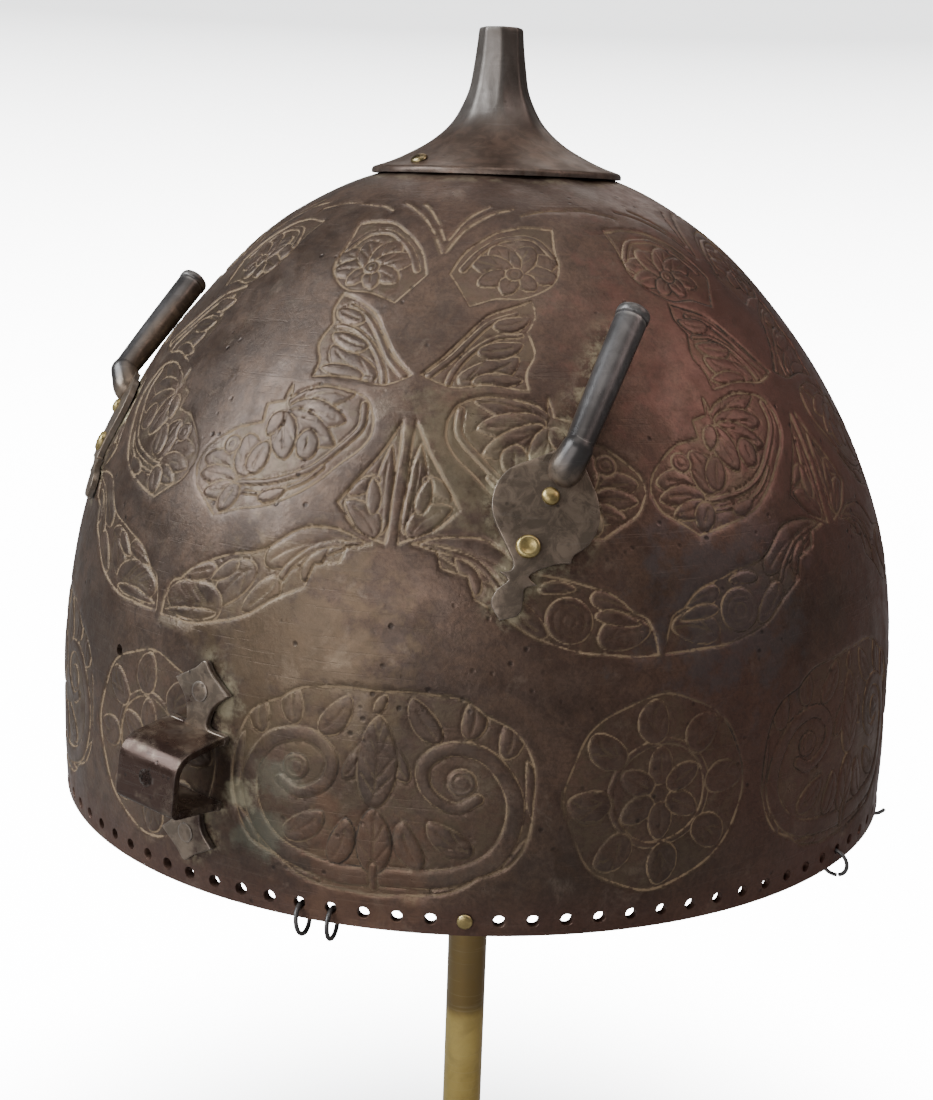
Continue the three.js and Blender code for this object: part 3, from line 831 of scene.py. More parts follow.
def cartouche_palmette():
    return (
        cartouche_outline() + leaf((0, 12.5), (0, 24.5), 5.0, 0) + leaf((0, 25.5), (0, 42.5), 5.6, 0)
        + stem([(0, 9), (0, 13)], 1.6) + leaf((-0.4, 43), (0.5, 46.4), 1.6, 0)
    )


medallion_middle, medallion_reach, medallion_rise = 27.0, 11.0, 19.0


def medallion():
    turn = np.radians(np.linspace(0, 360, 49))
    lobe = 1 + 0.014 * np.cos(8 * turn)
    edge = np.stack([
        medallion_reach * np.cos(turn) * lobe,
        medallion_middle + medallion_rise * np.sin(turn) * lobe,
    ], -1)
    rows = [("panel", curve(edge), 0.45)]
    rows += bud(0, medallion_middle, 2.3, 1.2)
    rows += spray(0, medallion_middle, [(90 + 60 * k, 2.6, 9.0, 3.6, 0) for k in range(6)])
    ring = circle(0, medallion_middle, 10.2)
    rows += [("body", ring, np.full(len(ring), 0.6))]
    rows += spray(0, medallion_middle, [(45 * k, 11.4, 17.9, 4.6, 1.4) for k in range(8)])
    return rows


# %% [markdown]
# ## Shader groups
#
# Old iron is never one colour. Three effects are shared by several metals here, so each is a node
# group with named inputs: blotches and grain of an old patina, fine scratches from wiping and
# scouring, and stains around a place. They only put out masks and heights. Each material mixes its
# own colours with them and keeps its own shader.

# %% Group: old patina
patina, given, out = new_group(
    "old_patina",
    {"Vector": None, "Blotch": 38.0, "Grain": 900.0, "Pits": 260.0},
    ["Blotches", "Patches", "Grain height", "Pit mask"],
)
blotches = noise(patina, given["Vector"], given["Blotch"], 6.0, 0.62, 0.4)
patina.links.new(span(patina, blotches, 0.36, 0.66), out["Blotches"])
finer = noise(patina, given["Vector"], times(patina, given["Blotch"], 5.0), 5.0, 0.68, 0.8)
patina.links.new(span(patina, finer, 0.4, 0.64), out["Patches"])
patina.links.new(noise(patina, given["Vector"], given["Grain"], 3.0, 0.6), out["Grain height"])
cells = put(patina, "ShaderNodeTexVoronoi", {"Vector": given["Vector"], "Scale": given["Pits"]})
sparse = noise(patina, given["Vector"], times(patina, given["Pits"], 0.22), 2.0)
pit = times(patina, span(patina, cells.outputs["Distance"], 0.24, 0.06), span(patina, sparse, 0.54, 0.62))
patina.links.new(pit, out["Pit mask"])

# %% Group: scratches
scratches, given, out = new_group(
    "fine_scratches",
    {"Vector": None, "Scale": 60.0, "Amount": 0.5},
    ["Scratch"],
)
streaks = None
for turn, stretch in ((0.5, 26.0), (-0.8, 34.0), (1.9, 22.0)):
    inputs = {"Vector": given["Vector"], "Rotation": (turn, turn * 0.7, turn), "Scale": (1, 1, stretch)}
    turned_place = put(scratches, "ShaderNodeMapping", inputs).outputs["Vector"]
    streak = noise(scratches, turned_place, given["Scale"], 2.0, 0.5, 0.2)
    streak = span(scratches, streak, 0.665, 0.7)
    streaks = streak if streaks is None else maths(scratches, "MAXIMUM", streaks, streak)
scratches.links.new(times(scratches, streaks, given["Amount"]), out["Scratch"])

# %% Group: stain about a place
stain, given, out = new_group(
    "stain_spot",
    {"Vector": None, "Centre": None, "Radius": 0.01, "Ragged": 0.5},
    ["Stain"],
)
ends = {0: given["Vector"], 1: given["Centre"]}
distance = put(stain, "ShaderNodeVectorMath", ends, operation="DISTANCE").outputs["Value"]
share = maths(stain, "DIVIDE", distance, given["Radius"])
unevenness = times(stain, maths(stain, "SUBTRACT", given["Ragged"], 0.5), 2.6)
share = maths(stain, "ADD", share, unevenness)
stain.links.new(span(stain, share, 1.0, 0.35), out["Stain"])


def stained(tree, at, centre, radius, ragged):
    """A mask about a centre, within a radius in metres, with an edge that ragged makes uneven."""
    return use_group(tree, stain, Vector=at, Centre=centre, Radius=radius, Ragged=ragged)["Stain"]


# %% A metal's shader


def feed(tree, shader, colour, roughness, metallic, height, bump_distance):
    bump = put(tree, "ShaderNodeBump", {"Height": height, "Distance": bump_distance})
    inputs = {"Base Color": colour, "Roughness": roughness, "Metallic": metallic}
    fill(tree, shader, {**inputs, "Normal": bump.outputs["Normal"]})


# %% [markdown]
# ## The bowl's patina
#
# The iron is chocolate brown, darker and greyer where it was wiped, redder towards the left of the
# wearer, with pits, wiping scratches and pale old wax or polish left in the cuts, which on the side
# turned from the window are painted dark, as shade and lost filling. Where the old leaf tops are
# rubbed the metal is a little brighter. Two attributes that were pressed in with the relief say
# where the cuts and the rubbed tops are.

# %% Material: brown iron
# Place on the dome (azimuth, millimetres above the rim), radius, tint and strength.
tone_rows = [
    (11.0, 52.0, 26.0, (0.120, 0.080, 0.044), 0.38),
    (20.0, 12.0, 18.0, (0.105, 0.055, 0.034), 0.5),
    (64.0, 62.0, 24.0, (0.062, 0.055, 0.055), 0.5),
    (84.0, 106.0, 44.0, (0.128, 0.054, 0.042), 0.4),
    (30.0, 88.0, 15.0, (0.165, 0.135, 0.080), 0.35),
]
stain_rows = [
    (11.0, 28.0, 6.0, (0.13, 0.14, 0.10), 0.25),
    (9.0, 15.0, 7.0, (0.13, 0.14, 0.10), 0.3),
    (6.2, 23.0, 4.5, (0.33, 0.29, 0.19), 0.5),
    (3.6, 41.0, 4.5, (0.33, 0.29, 0.19), 0.4),
]
chocolate = (0.044, 0.0275, 0.0195)
brown = (0.092, 0.057, 0.039)
grey_brown = (0.066, 0.047, 0.037)
red_brown = (0.105, 0.048, 0.036)
old_polish = (0.168, 0.114, 0.068)
rubbed_iron = (0.105, 0.078, 0.060)
painted_cut_shade = (0.024, 0.017, 0.013)

tree, shader = new_finish("brown_iron")
at = object_place(tree)
marks = use_group(tree, patina, Vector=at, Blotch=34.0, Grain=1100.0, Pits=330.0)
colour = mixed(tree, marks["Blotches"], chocolate, brown)
colour = laid(tree, colour, marks["Patches"], 0.45, grey_brown)
speckle = span(tree, noise(tree, at, 210.0, 4.0, 0.72, 0.6), 0.42, 0.62)
colour = laid(tree, colour, speckle, 0.5, (0.032, 0.023, 0.019))
bare = span(tree, noise(tree, at, 90.0, 5.0, 0.7, 0.4), 0.56, 0.7)
colour = laid(tree, colour, bare, 0.5, (0.135, 0.100, 0.074))
# Redder towards the wearer's left, where the camera's right is.
towards_left = {0: at, 1: (0.84, 0.54, 0.25)}
sideways = put(tree, "ShaderNodeVectorMath", towards_left, operation="DOT_PRODUCT").outputs["Value"]
redder = times(tree, span(tree, sideways, 0.03, 0.16), span(tree, noise(tree, at, 22.0, 3.0), 0.3, 0.62))
colour = laid(tree, colour, redder, 0.8, red_brown)
above_rim = put(tree, "ShaderNodeSeparateXYZ", {"Vector": at}).outputs["Z"]
at_rim = times(tree, span(tree, above_rim, rim_z + 0.012, rim_z + 0.001), 0.3)
colour = mixed(tree, at_rim, colour, (0.100, 0.040, 0.030))
grainy = span(tree, noise(tree, at, 1300.0, 3.0, 0.7), 0.4, 0.65)
colour = laid(tree, colour, grainy, 0.3, (0.026, 0.018, 0.014))
ragged = noise(tree, at, 190.0, 4.0, 0.65)


def dabbed(colour, rows):
    """Colours patches of the dome, each ragged at its edge."""
    for azimuth, height_mm, radius, tint, strength in rows:
        centre = on_dome(azimuth, s_at_height(height_mm))
        spot = stained(tree, at, tuple(centre), radius * MM, ragged)
        colour = laid(tree, colour, spot, strength, tint)
    return colour


colour = dabbed(colour, tone_rows)
rubbed_mask = times(tree, attribute(tree, "rubbed"), span(tree, noise(tree, at, 300.0, 2.0), 0.3, 0.7))
colour = laid(tree, colour, rubbed_mask, 0.2, rubbed_iron)
caked = span(tree, noise(tree, at, 420.0, 3.0, 0.7), 0.3, 0.6, 0.4, 1.0)
cut_dirt_and_shade_mask = span(tree, times(tree, attribute(tree, "dirt"), caked), 0.26, 0.74)
faint = span(tree, attribute(tree, "dirt"), 0.03, 0.16, 0.0, 0.3)
colour = mixed(tree, times(tree, faint, speckle), colour, (0.135, 0.098, 0.056))
# Cuts low on the wearer's left, the side turned from the window, are painted dark in patches: painted
# shade, and lost filling.
polish_over_shade = maths(tree, "SUBTRACT", noise(tree, at, 26.0, 3.0), times(tree, sideways, 1.3))
polish_and_painted_shade = mixed(tree, span(tree, polish_over_shade, 0.26, 0.44), painted_cut_shade, old_polish)
colour = laid(tree, colour, cut_dirt_and_shade_mask, 0.95, polish_and_painted_shade)
scratch = use_group(tree, scratches, Vector=at, Scale=46.0, Amount=0.6)["Scratch"]
colour = laid(tree, colour, scratch, 0.12, rubbed_iron)
colour = dabbed(colour, stain_rows)
crusted = span(tree, noise(tree, at, 260.0, 4.0, 0.7), 0.4, 0.62)
crust = times(tree, attribute(tree, "settled"), crusted)
colour = laid(tree, colour, crust, 0.8, (0.27, 0.225, 0.145))
colour = laid(tree, colour, marks["Pit mask"], 0.7, (0.012, 0.009, 0.008))
roughness = span(tree, noise(tree, at, 150.0, 4.0, 0.7), 0.3, 0.7, 0.29, 0.50)
roughness = maths(tree, "SUBTRACT", roughness, times(tree, bare, 0.05))
roughness = maths(tree, "ADD", roughness, times(tree, cut_dirt_and_shade_mask, 0.4), clamp=True)
metallic = maths(tree, "SUBTRACT", 0.5, times(tree, cut_dirt_and_shade_mask, 0.5), clamp=True)
punched = put(tree, "ShaderNodeTexVoronoi", {"Vector": at, "Scale": 1500.0}).outputs["Distance"]
height = times(tree, marks["Grain height"], 0.6)
height = maths(tree, "SUBTRACT", height, times(tree, marks["Pit mask"], 1.2))
height = maths(tree, "SUBTRACT", height, times(tree, scratch, 0.25))
height = maths(tree, "ADD", height, times(tree, times(tree, punched, attribute(tree, "dirt")), 0.8))
feed(tree, shader, colour, roughness, metallic, height, 0.09 * MM)
shader.inputs["Specular IOR Level"].default_value = 0.4
shader.inputs["Specular Tint"].default_value = (0.62, 0.52, 0.46, 1)

# %% [markdown]
# ## The fittings' metals
#
# The finial was scoured brighter than the bowl and is brown only where fingers don't reach. The
# plume holders and the nasal's bridge are black forged iron with bright worn edges. The rivets are
# brass. Worn edges come from an attribute that each piece measures on its own mesh, and are painted
# bright partly as wear and partly as a painted highlight.

# %% Material: metals of the fittings


def worn_metal(name, dark, light, bright, rough, metal, edge_wear_and_highlight, blotch, low=None, tinted=None):
    """Blotched metal between two tones, brighter on worn edges as wear and painted highlight, of the tone
    low near the bowl.
    """
    tree, shader = new_finish(name)
    at = object_place(tree)
    marks = use_group(tree, patina, Vector=at, Blotch=blotch, Grain=1300.0, Pits=420.0)
    colour = mixed(tree, marks["Blotches"], dark, light)
    colour = laid(tree, colour, marks["Patches"], 0.5, dark)
    if low:
        near_bowl = maths(tree, "SUBTRACT", 0.9, attribute(tree, "raised"), clamp=True)
        browned = mixed(tree, marks["Patches"], tuple(0.55 * part for part in low), low)
        colour = mixed(tree, near_bowl, colour, browned)
        edge_wear_and_highlight = span(tree, near_bowl, 0.0, 0.9, edge_wear_and_highlight, 0.4 * edge_wear_and_highlight)
    if tinted:
        centre, radius, tint = tinted
        ragged = noise(tree, at, 190.0, 4.0, 0.65)
        spot = stained(tree, at, centre, radius, ragged)
        colour = laid(tree, colour, spot, 0.92, tint)
        rough = maths(tree, "SUBTRACT", rough, times(tree, spot, 0.08))
    scratch = use_group(tree, scratches, Vector=at, Scale=70.0, Amount=0.8)["Scratch"]
    # Painted highlight and wear: raised edges are painted bright.
    edge = times(tree, attribute(tree, "edge"), span(tree, noise(tree, at, 500.0, 4.0), 0.25, 0.6))
    wear_and_highlight = maths(tree, "MAXIMUM", times(tree, edge, edge_wear_and_highlight), times(tree, scratch, 0.05))
    colour = mixed(tree, wear_and_highlight, colour, bright)
    colour = laid(tree, colour, marks["Pit mask"], 0.6, (0.02, 0.016, 0.014))
    uneven = span(tree, noise(tree, at, 160.0, 5.0), 0.3, 0.7, -0.07, 0.1)
    roughness = maths(tree, "ADD", uneven, rough)
    roughness = maths(tree, "SUBTRACT", roughness, times(tree, wear_and_highlight, 0.08), clamp=True)
    height = times(tree, marks["Grain height"], 0.4)
    height = maths(tree, "SUBTRACT", height, times(tree, marks["Pit mask"], 1.0))
    height = maths(tree, "SUBTRACT", height, times(tree, scratch, 0.05))
    feed(tree, shader, colour, roughness, metal, height, 0.04 * MM)
    shader.inputs["Specular Tint"].default_value = (0.58, 0.50, 0.44, 1)


bridge_low, bridge_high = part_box("nasal_bracket")
bridge_face = (0.0, bridge_low[1] + 0.002, 0.5 * (bridge_low[2] + bridge_high[2]))
worn_metal(
    "dark_iron", (0.046, 0.041, 0.039), (0.088, 0.080, 0.077), (0.34, 0.31, 0.28), 0.34, 0.6, 0.7, 60.0,
    low=(0.165, 0.120, 0.086), tinted=(bridge_face, 0.018, (0.034, 0.0175, 0.0135)))
worn_metal(
    "worn_steel", (0.062, 0.049, 0.041), (0.112, 0.095, 0.084), (0.30, 0.27, 0.24), 0.39, 0.6, 0.35, 48.0,
    low=(0.092, 0.056, 0.040))
worn_metal(
    "ring_iron", (0.050, 0.046, 0.044), (0.11, 0.10, 0.095), (0.22, 0.21, 0.20), 0.42, 0.8, 0.3, 300.0)
finial_foot = (0.0, 0.0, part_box("finial_rivet_front")[0][2])
worn_metal(
    "rivet_brass", (0.20, 0.145, 0.060), (0.42, 0.31, 0.12), (0.62, 0.50, 0.24), 0.34, 0.9, 0.5, 300.0,
    tinted=(finial_foot, 0.06, (0.105, 0.080, 0.050)))
worn_metal(
    "stand_black", (0.014, 0.014, 0.015), (0.022, 0.021, 0.021), (0.07, 0.068, 0.065), 0.42, 0.1, 0.3, 60.0)


# %% Material: post
tree, shader = new_finish("post_brass")
at = object_place(tree)
marks = use_group(tree, patina, Vector=at, Blotch=26.0, Grain=1500.0, Pits=500.0)
level = put(tree, "ShaderNodeSeparateXYZ", {"Vector": at}).outputs["Z"]
darker = span(tree, maths(tree, "ADD", level, times(tree, noise(tree, at, 60.0, 4.0), 0.004)), 0.096, 0.100)
colour = mixed(tree, marks["Blotches"], (0.40, 0.27, 0.075), (0.52, 0.37, 0.12))
colour = laid(tree, colour, darker, 0.85, (0.130, 0.080, 0.034))
colour = laid(tree, colour, marks["Patches"], 0.25, (0.16, 0.115, 0.062))
scratch = use_group(tree, scratches, Vector=at, Scale=50.0, Amount=0.7)["Scratch"]
colour = laid(tree, colour, scratch, 0.1, (0.62, 0.52, 0.30))
roughness = span(tree, noise(tree, at, 90.0, 4.0), 0.3, 0.7, 0.30, 0.44)
height = maths(tree, "SUBTRACT", times(tree, marks["Grain height"], 0.3), times(tree, scratch, 0.06))
feed(tree, shader, colour, roughness, 0.85, height, 0.03 * MM)

# %% [markdown]
# ## Laying the charts round the dome
#
# The bays were stepped off by eye, so they aren't quite equal. Each copy of the half bay is drawn
# in order, like overlapping paper leaves: a later leaf hides what lies under it. The result, for
# any place on the dome, is how far it is from each kind of cut, and that is all that the relief and
# the dirt in it need.

# %% Bays
bay_axes = [22.5, 85.5, 145.5, 203.5, 261.5, 320.5]  # degrees from the front
half_bay_width = 30.0
far = 9.0  # millimetres; no cut is looked for beyond this
chaser_hand = np.random.default_rng(7)

layout = []
for bay, axis in enumerate(bay_axes):
    step_after = (bay_axes[(bay + 1) % 6] - axis) % 360 / 2
    step_before = (axis - bay_axes[bay - 1]) % 360 / 2
    for hand, reach in ((1, step_after), (-1, step_before)):
        copy = 2 * bay + (hand > 0)
        rows, scale = half_bay(copy) + half_cartouche(), hand * half_bay_width / reach
        layout.append((rows, axis, scale, (-1.6, 30.4), chaser_hand.uniform(0, 6, 4)))
    layout.append((cartouche_palmette(), axis, 1.0, (-18.5, 18.5), chaser_hand.uniform(0, 6, 4)))
    layout.append((medallion(), axis + step_after, 1.0, (-12, 12), chaser_hand.uniform(0, 6, 4)))
print(sum(len(rows) for rows, *_ in layout), "cuts in", len(layout), "charts")

# %% Distances to cuts


def distance_to(line, radii, v, s, reach=1.3, chunk=8):
    """Millimetres from each place to a line of chart points with a radius at each point."""
    best = np.full(len(v), far)
    radii = np.broadcast_to(radii, len(line)).astype(float)
    if len(line) == 1:
        return np.hypot((v - line[0, 0]) * millimetres(s), s - line[0, 1]) - radii[0]
    for first in range(0, len(line) - 1, chunk):
        p, r = line[first:first + chunk + 1], radii[first:first + chunk + 1]
        margin = reach + r.max()
        margin_v = margin / millimetres(p[:, 1].max())
        near = np.flatnonzero(
            (v > p[:, 0].min() - margin_v) & (v < p[:, 0].max() + margin_v)
            & (s > p[:, 1].min() - margin) & (s < p[:, 1].max() + margin)
        )
        if not len(near):
            continue
        scale = millimetres(s[near])[:, None]
        ax, ay = (p[None, :-1, 0] - v[near, None]) * scale, p[None, :-1, 1] - s[near, None]
        bx, by = (p[None, 1:, 0] - v[near, None]) * scale, p[None, 1:, 1] - s[near, None]
        dx, dy = bx - ax, by - ay
        t = np.clip(-(ax * dx + ay * dy) / (dx * dx + dy * dy + 1e-12), 0, 1)
        gap = np.hypot(ax + t * dx, ay + t * dy) - (r[:-1] + t * (r[1:] - r[:-1]))
        best[near] = np.minimum(best[near], gap.min(axis=1))
    return best


def inside_of(line, v, s):
    """Even-odd test against a closed line."""
    inside = np.zeros(len(v), bool)
    near = np.flatnonzero(
        (v > line[:, 0].min()) & (v < line[:, 0].max()) & (s > line[:, 1].min()) & (s < line[:, 1].max())
    )
    x, y = v[near], s[near]
    odd = np.zeros(len(near), bool)
    for (x0, y0), (x1, y1) in zip(line, line[1:]):
        if y0 != y1:
            odd ^= ((y0 > y) != (y1 > y)) & (x < (x1 - x0) * (y - y0) / (y1 - y0) + x0)
    inside[near] = odd
    return inside


def chase(azimuth, s):
    """What is cut at each place: distances in millimetres to the nearest cuts of each kind."""
    count = len(azimuth)
    cuts = {name: np.full(count, far) for name in ("rim", "cover", "edge", "vein", "line")}
    cuts["ground"] = np.zeros(count, bool)
    for rows, axis, hand, (low, high), sway in layout:
        v = ((azimuth - axis + 180) % 360 - 180) * hand
        near = np.flatnonzero((v > low) & (v < high) & (s > 5) & (s < 155))
        if not len(near):
            continue
        vn, sn = v[near], s[near]
        vs = vn + 0.16 * np.sin(sn / 7 + sway[0]) + 0.07 * np.sin(sn / 2.3 + sway[1])
        sn = sn + 0.28 * np.sin(vn / 3.6 + sway[2]) + 0.1 * np.sin(vn / 1.1 + sway[3])
        vn = vs
        own = {name: values[near] for name, values in cuts.items()}
        for kind, line, size in rows:
            if kind == "panel":
                own["ground"] |= inside_of(line, vn, sn)
                own["rim"] = np.minimum(own["rim"], distance_to(line, 0, vn, sn))
            elif kind == "body":
                gap = distance_to(line, size, vn, sn)
                hidden = gap < 0
                own["cover"] = np.minimum(own["cover"], gap)
                own["edge"] = np.where(hidden, -gap, np.minimum(own["edge"], gap))
                own["vein"][hidden] = far
            else:
                gap = distance_to(line, 0, vn, sn) / size
                own[kind] = np.minimum(own[kind], gap)
        for name, values in own.items():
            cuts[name][near] = values
    return cuts


# %% Relief of the cuts
ground_depth = 0.27
outline_depth = 0.34
leaf_edge_depth = 0.24
vein_depth = 0.15
line_depth = 0.28


def waves(azimuth, s, seed, count, shortest, longest):
    """Smooth unevenness over the dome, about -1 to 1, that closes on itself round it."""
    draw = np.random.default_rng(seed)
    total = np.zeros(len(azimuth))
    turn = np.radians(azimuth)
    for _ in range(count):
        length = draw.uniform(shortest, longest)
        heading = draw.uniform(0, 2 * math.pi)
        turns = round(2 * math.pi * 85 / length * math.cos(heading))
        climb = 2 * math.pi * s / length * math.sin(heading)
        total += np.sin(turns * turn + climb + draw.uniform(0, 6.28))
    return total / math.sqrt(count)


def cut_relief(azimuth, s):
    """Depth in millimetres, and how full of old dirt and how rubbed each place is."""
    cuts = chase(azimuth, s)
    ground = cuts["ground"].astype(float)
    rim_wall = soft_step(cuts["rim"] / 0.4)
    off_leaf = soft_step(cuts["cover"] / 0.3 + 0.4)
    sunk = ground * rim_wall * off_leaf
    outline = np.exp(-((cuts["rim"] / 0.27) ** 2))
    leaf_edge = ground * np.exp(-((cuts["edge"] / 0.24) ** 2))
    veins = ground * np.clip(1 - cuts["vein"] ** 2, 0, 1)
    lines = np.exp(-(cuts["line"] ** 2))
    wear = np.clip(0.86 + 0.2 * waves(azimuth, s, 11, 9, 25, 90), 0.5, 1.1)
    leaf_round = ground * (1 - off_leaf) * (1 - soft_step(cuts["edge"] / 1.5))
    depth = wear * (
        ground_depth * sunk
        + outline_depth * outline
        + leaf_edge_depth * leaf_edge
        + vein_depth * veins
        + line_depth * lines
        + 0.05 * leaf_round
    )
    thin = [np.exp(-((cuts[kind] / width) ** 2)) for kind, width in (("rim", 0.26), ("edge", 0.22))]
    dirt = np.maximum.reduce([thin[0], 0.9 * ground * thin[1], 0.4 * veins, 0.8 * lines, 0.12 * sunk])
    rubbed = ground * (1 - off_leaf) * soft_step(cuts["edge"] / 0.8) * (1 - veins)
    return depth, dirt, rubbed


def nearest_cut(azimuth, s):
    cuts = chase(azimuth, s)
    near = np.minimum(cuts["rim"], cuts["line"] * 0.4)
    inner = np.minimum(cuts["edge"], cuts["vein"] * 0.25)
    return np.where(cuts["ground"], np.minimum(near, inner), near), cuts["ground"]


# %% [markdown]
# ## The bowl
#
# The bowl is one sheet, but its relief needs a very fine mesh. So it is built as three rings that
# meet where no cut crosses: the lower band with the mail holes, the field with the swags, and the
# crown. Each ring is turned from its wall's section. Its outer faces are then subdivided, only
# where the charts have cuts, from 2.4 mm down to 0.3 mm. The holes are drilled before the relief is
# pressed in, so their edges follow the hammered surface.

# %% Fittings on the bowl
# Outlines are in millimetres across and along each fitting's own leaning axis.
plume_anchors = {
    "right": {"mirror": 1, "azimuth": 41.0, "height": 81.7, "lean": 30.3},
    "left": {"mirror": -1, "azimuth": 44.5, "height": 86.0, "lean": 45.0},
}
nasal_anchor = {"azimuth": 0.0, "height": 27.2, "lean": 5.5}
plume_outline = [
    (-3.4, 8.2), (-6.2, 4.6), (-9, 0.8), (-9.6, -3), (-8.6, -6.5), (-6.4, -9.2), (-2.4, -12), (0.2, -14),
    (0.5, -15.5), (-1.1, -16.7), (-1.1, -16.7), (1, -17.2), (0.2, -19.6), (0.6, -22.4), (3.4, -24.2),
    (3.4, -24.2), (5.7, -21.6), (5, -18.8), (4.2, -17), (5.8, -15.4), (5.8, -15.4), (3.8, -14.9),
    (4.6, -13), (7.2, -10.2), (9.1, -9), (9.1, -9), (8.9, -7.4), (10.2, -4.8), (10.5, -1.8), (9.8, 1.1),
    (7.9, 4), (5.2, 6.4), (3, 8.2), (0, 9.4), (-3.4, 8.2),
]
lug_top = [
    (7.2, 5.4), (7.2, 7.2), (3, 7.6), (2.8, 9.6), (3.8, 12.2), (6.9, 15.2), (6.9, 15.2), (2.2, 18.4),
    (0, 20.4),
]
lug_bottom = [
    (7.2, -6.4), (7.2, -8), (3.3, -8.6), (3.3, -11.4), (4.2, -13.6), (6.8, -16.2), (6.8, -16.2),
    (2.4, -19), (0, -21),
]
under_tube = [(-2, 10), (-3.4, 24), (-4.5, 36)]  # dirt lies against the tube's shaded side
plates_on_bowl = [
    (plume_anchors["right"], plume_outline, 1.7), (plume_anchors["right"], under_tube, 3.2),
    (plume_anchors["left"], plume_outline, 1.7), (plume_anchors["left"], under_tube, 2.2),
    (nasal_anchor, lug_top, 1.6), (nasal_anchor, lug_bottom, 1.2),
]

# %% Bowl sizes
bowl_steps = 288
outer_step, inner_step = 2.4, 9.0
ring_borders = [0.0, 50.8, 104.3, apex_s]
hole_count, hole_phase, hole_height, hole_radius = 96, -1.1, 3.1, 1.15
spare_azimuth, spare_height, spare_radius = -15.6, 43.3, 1.1
flange_radius = 28.9  # of the finial


def hole_azimuth(index):
    return 360 / hole_count * index + hole_phase


def wall_point(s, depth):
    """Radius and height in metres at a depth under the outer surface."""
    normal_r, normal_z = np.interp(s, meridian_s, meridian_dz), -np.interp(s, meridian_s, meridian_dr)
    radius = radius_at(s) - depth * normal_r
    height = np.interp(s, meridian_s, meridian_z) - depth * normal_z
    return radius * MM, rim_z + height * MM


def ring_section(low, high):
    outer = np.linspace(low, high, max(2, round((high - low) / outer_step)) + 1)
    inner = np.linspace(high, low, max(2, round((high - low) / inner_step)) + 1)
    rows = [wall_point(s, 0) for s in outer] + [wall_point(s, wall) for s in inner]
    if high == apex_s:
        apex = len(outer) - 1
        rows[apex] = (0, rows[apex][1])
        rows[apex + 1] = (0, rows[apex][1] - wall * MM)
    if low == 0:
        # The rim's edge is filed round, by (depth from the outside, height) in millimetres.
        filed = [(wall, 0.25), (wall - 0.25, 0), (0.3, 0), (0.06, 0.12)]
        rows[0] = wall_point(0.35, 0)
        rows[-1:] = [(radius_at(0) * MM - depth * MM, rim_z + height * MM) for depth, height in filed]
    return rows


# %% Turn and refine the rings


def refine(piece, reach, whole_ground):
    azimuth, s, lift = off_dome(face_centres(piece))
    near, ground = nearest_cut(azimuth, s)
    if not whole_ground:
        # The finest cuts are for the side that the photo shows.
        off_camera = np.abs((azimuth - math.degrees(view_azimuth) + 180) % 360 - 180)
        reach = np.where(off_camera < 82, reach, reach / 2)
    edit_faces(piece, (lift > -0.5) & ((near < reach) | (ground & whole_ground)))
    bpy.ops.mesh.subdivide(number_cuts=1, smoothness=0)
    done()


def drill_holes(piece, holes):
    """holes: rows (azimuth, s, radius); each drill is flared where it meets the outside."""
    drills = []
    for azimuth, s, radius in holes:
        flare = [(radius, -0.35), (radius + 0.16, -0.05), (radius + 0.5, 0.5)]
        drill_bit = lathe("drill", [(0, -4), (radius, -4), *flare, (0, 0.5)], 20)
        drills.append(moved_to(drill_bit, dome_place(azimuth, s)))
    return cut(piece, join(drills, "drills"))


def settled_dirt(azimuth, s):
    """How thick old polish and dust lie at each place round the fittings, 0 to 1."""
    settled = np.exp(-(((radius_at(s) - flange_radius - 0.7) / 0.9) ** 2)) * 0.8
    for anchor, outline, spread in plates_on_bowl:
        lean = math.radians(anchor["lean"])
        turn = (azimuth * anchor.get("mirror", 1) - anchor["azimuth"] + 180) % 360 - 180
        sideways, upwards = np.radians(turn) * radius_at(s), s - s_at_height(anchor["height"])
        x = sideways * math.cos(lean) - upwards * math.sin(lean)
        y = sideways * math.sin(lean) + upwards * math.cos(lean)
        near = np.flatnonzero((np.abs(x) < 22) & (y > -32) & (y < 50))
        if not len(near):
            continue
        line = np.array(outline, float)
        step = np.diff(line, axis=0)
        offset = np.stack([x[near], y[near]], -1)[:, None] - line[None, :-1]
        t = np.clip((offset * step).sum(-1) / ((step**2).sum(-1) + 1e-9), 0, 1)
        gap = np.linalg.norm(offset - t[..., None] * step, axis=-1).min(axis=1)
        settled[near] = np.maximum(settled[near], np.exp(-((gap / spread) ** 2)))
    return settled


def press_relief(piece):
    points = vertices(piece)
    azimuth, s, lift = off_dome(points)
    outer = lift > -0.12
    depth, dirt, rubbed = cut_relief(azimuth, s)
    hammered = 0.16 * (waves(azimuth, s, 3, 14, 22, 70) + 1.4)
    fade = soft_step((apex_s - s) / 30) * soft_step(s / 1.2)
    points[outer] = on_dome(azimuth, s, -(depth + hammered * fade))[outer]
    place(piece, points)
    for name, values in (("dirt", dirt), ("rubbed", rubbed), ("settled", settled_dirt(azimuth, s))):
        mark(piece, name, np.where(outer, values, 0.0))


def halves(ring):
    """Parts the finished ring at the sides that the photo shows edge on, and closes both cuts."""
    x, y, _ = face_centres(ring).T
    edit_faces(ring, x * math.sin(view_azimuth) - y * math.cos(view_azimuth) < 0)
    bpy.ops.mesh.separate(type="SELECTED")
    done()
    back = next(piece for piece in bpy.context.selected_objects if piece != ring)
    back.name = ring.name + "_back"
    ring.name = ring.name + "_front"
    for half in (ring, back):
        edit(half, "EDGE")
        bpy.ops.mesh.select_non_manifold()
        bpy.ops.mesh.fill_holes(sides=0)
        done()
    return ring, back


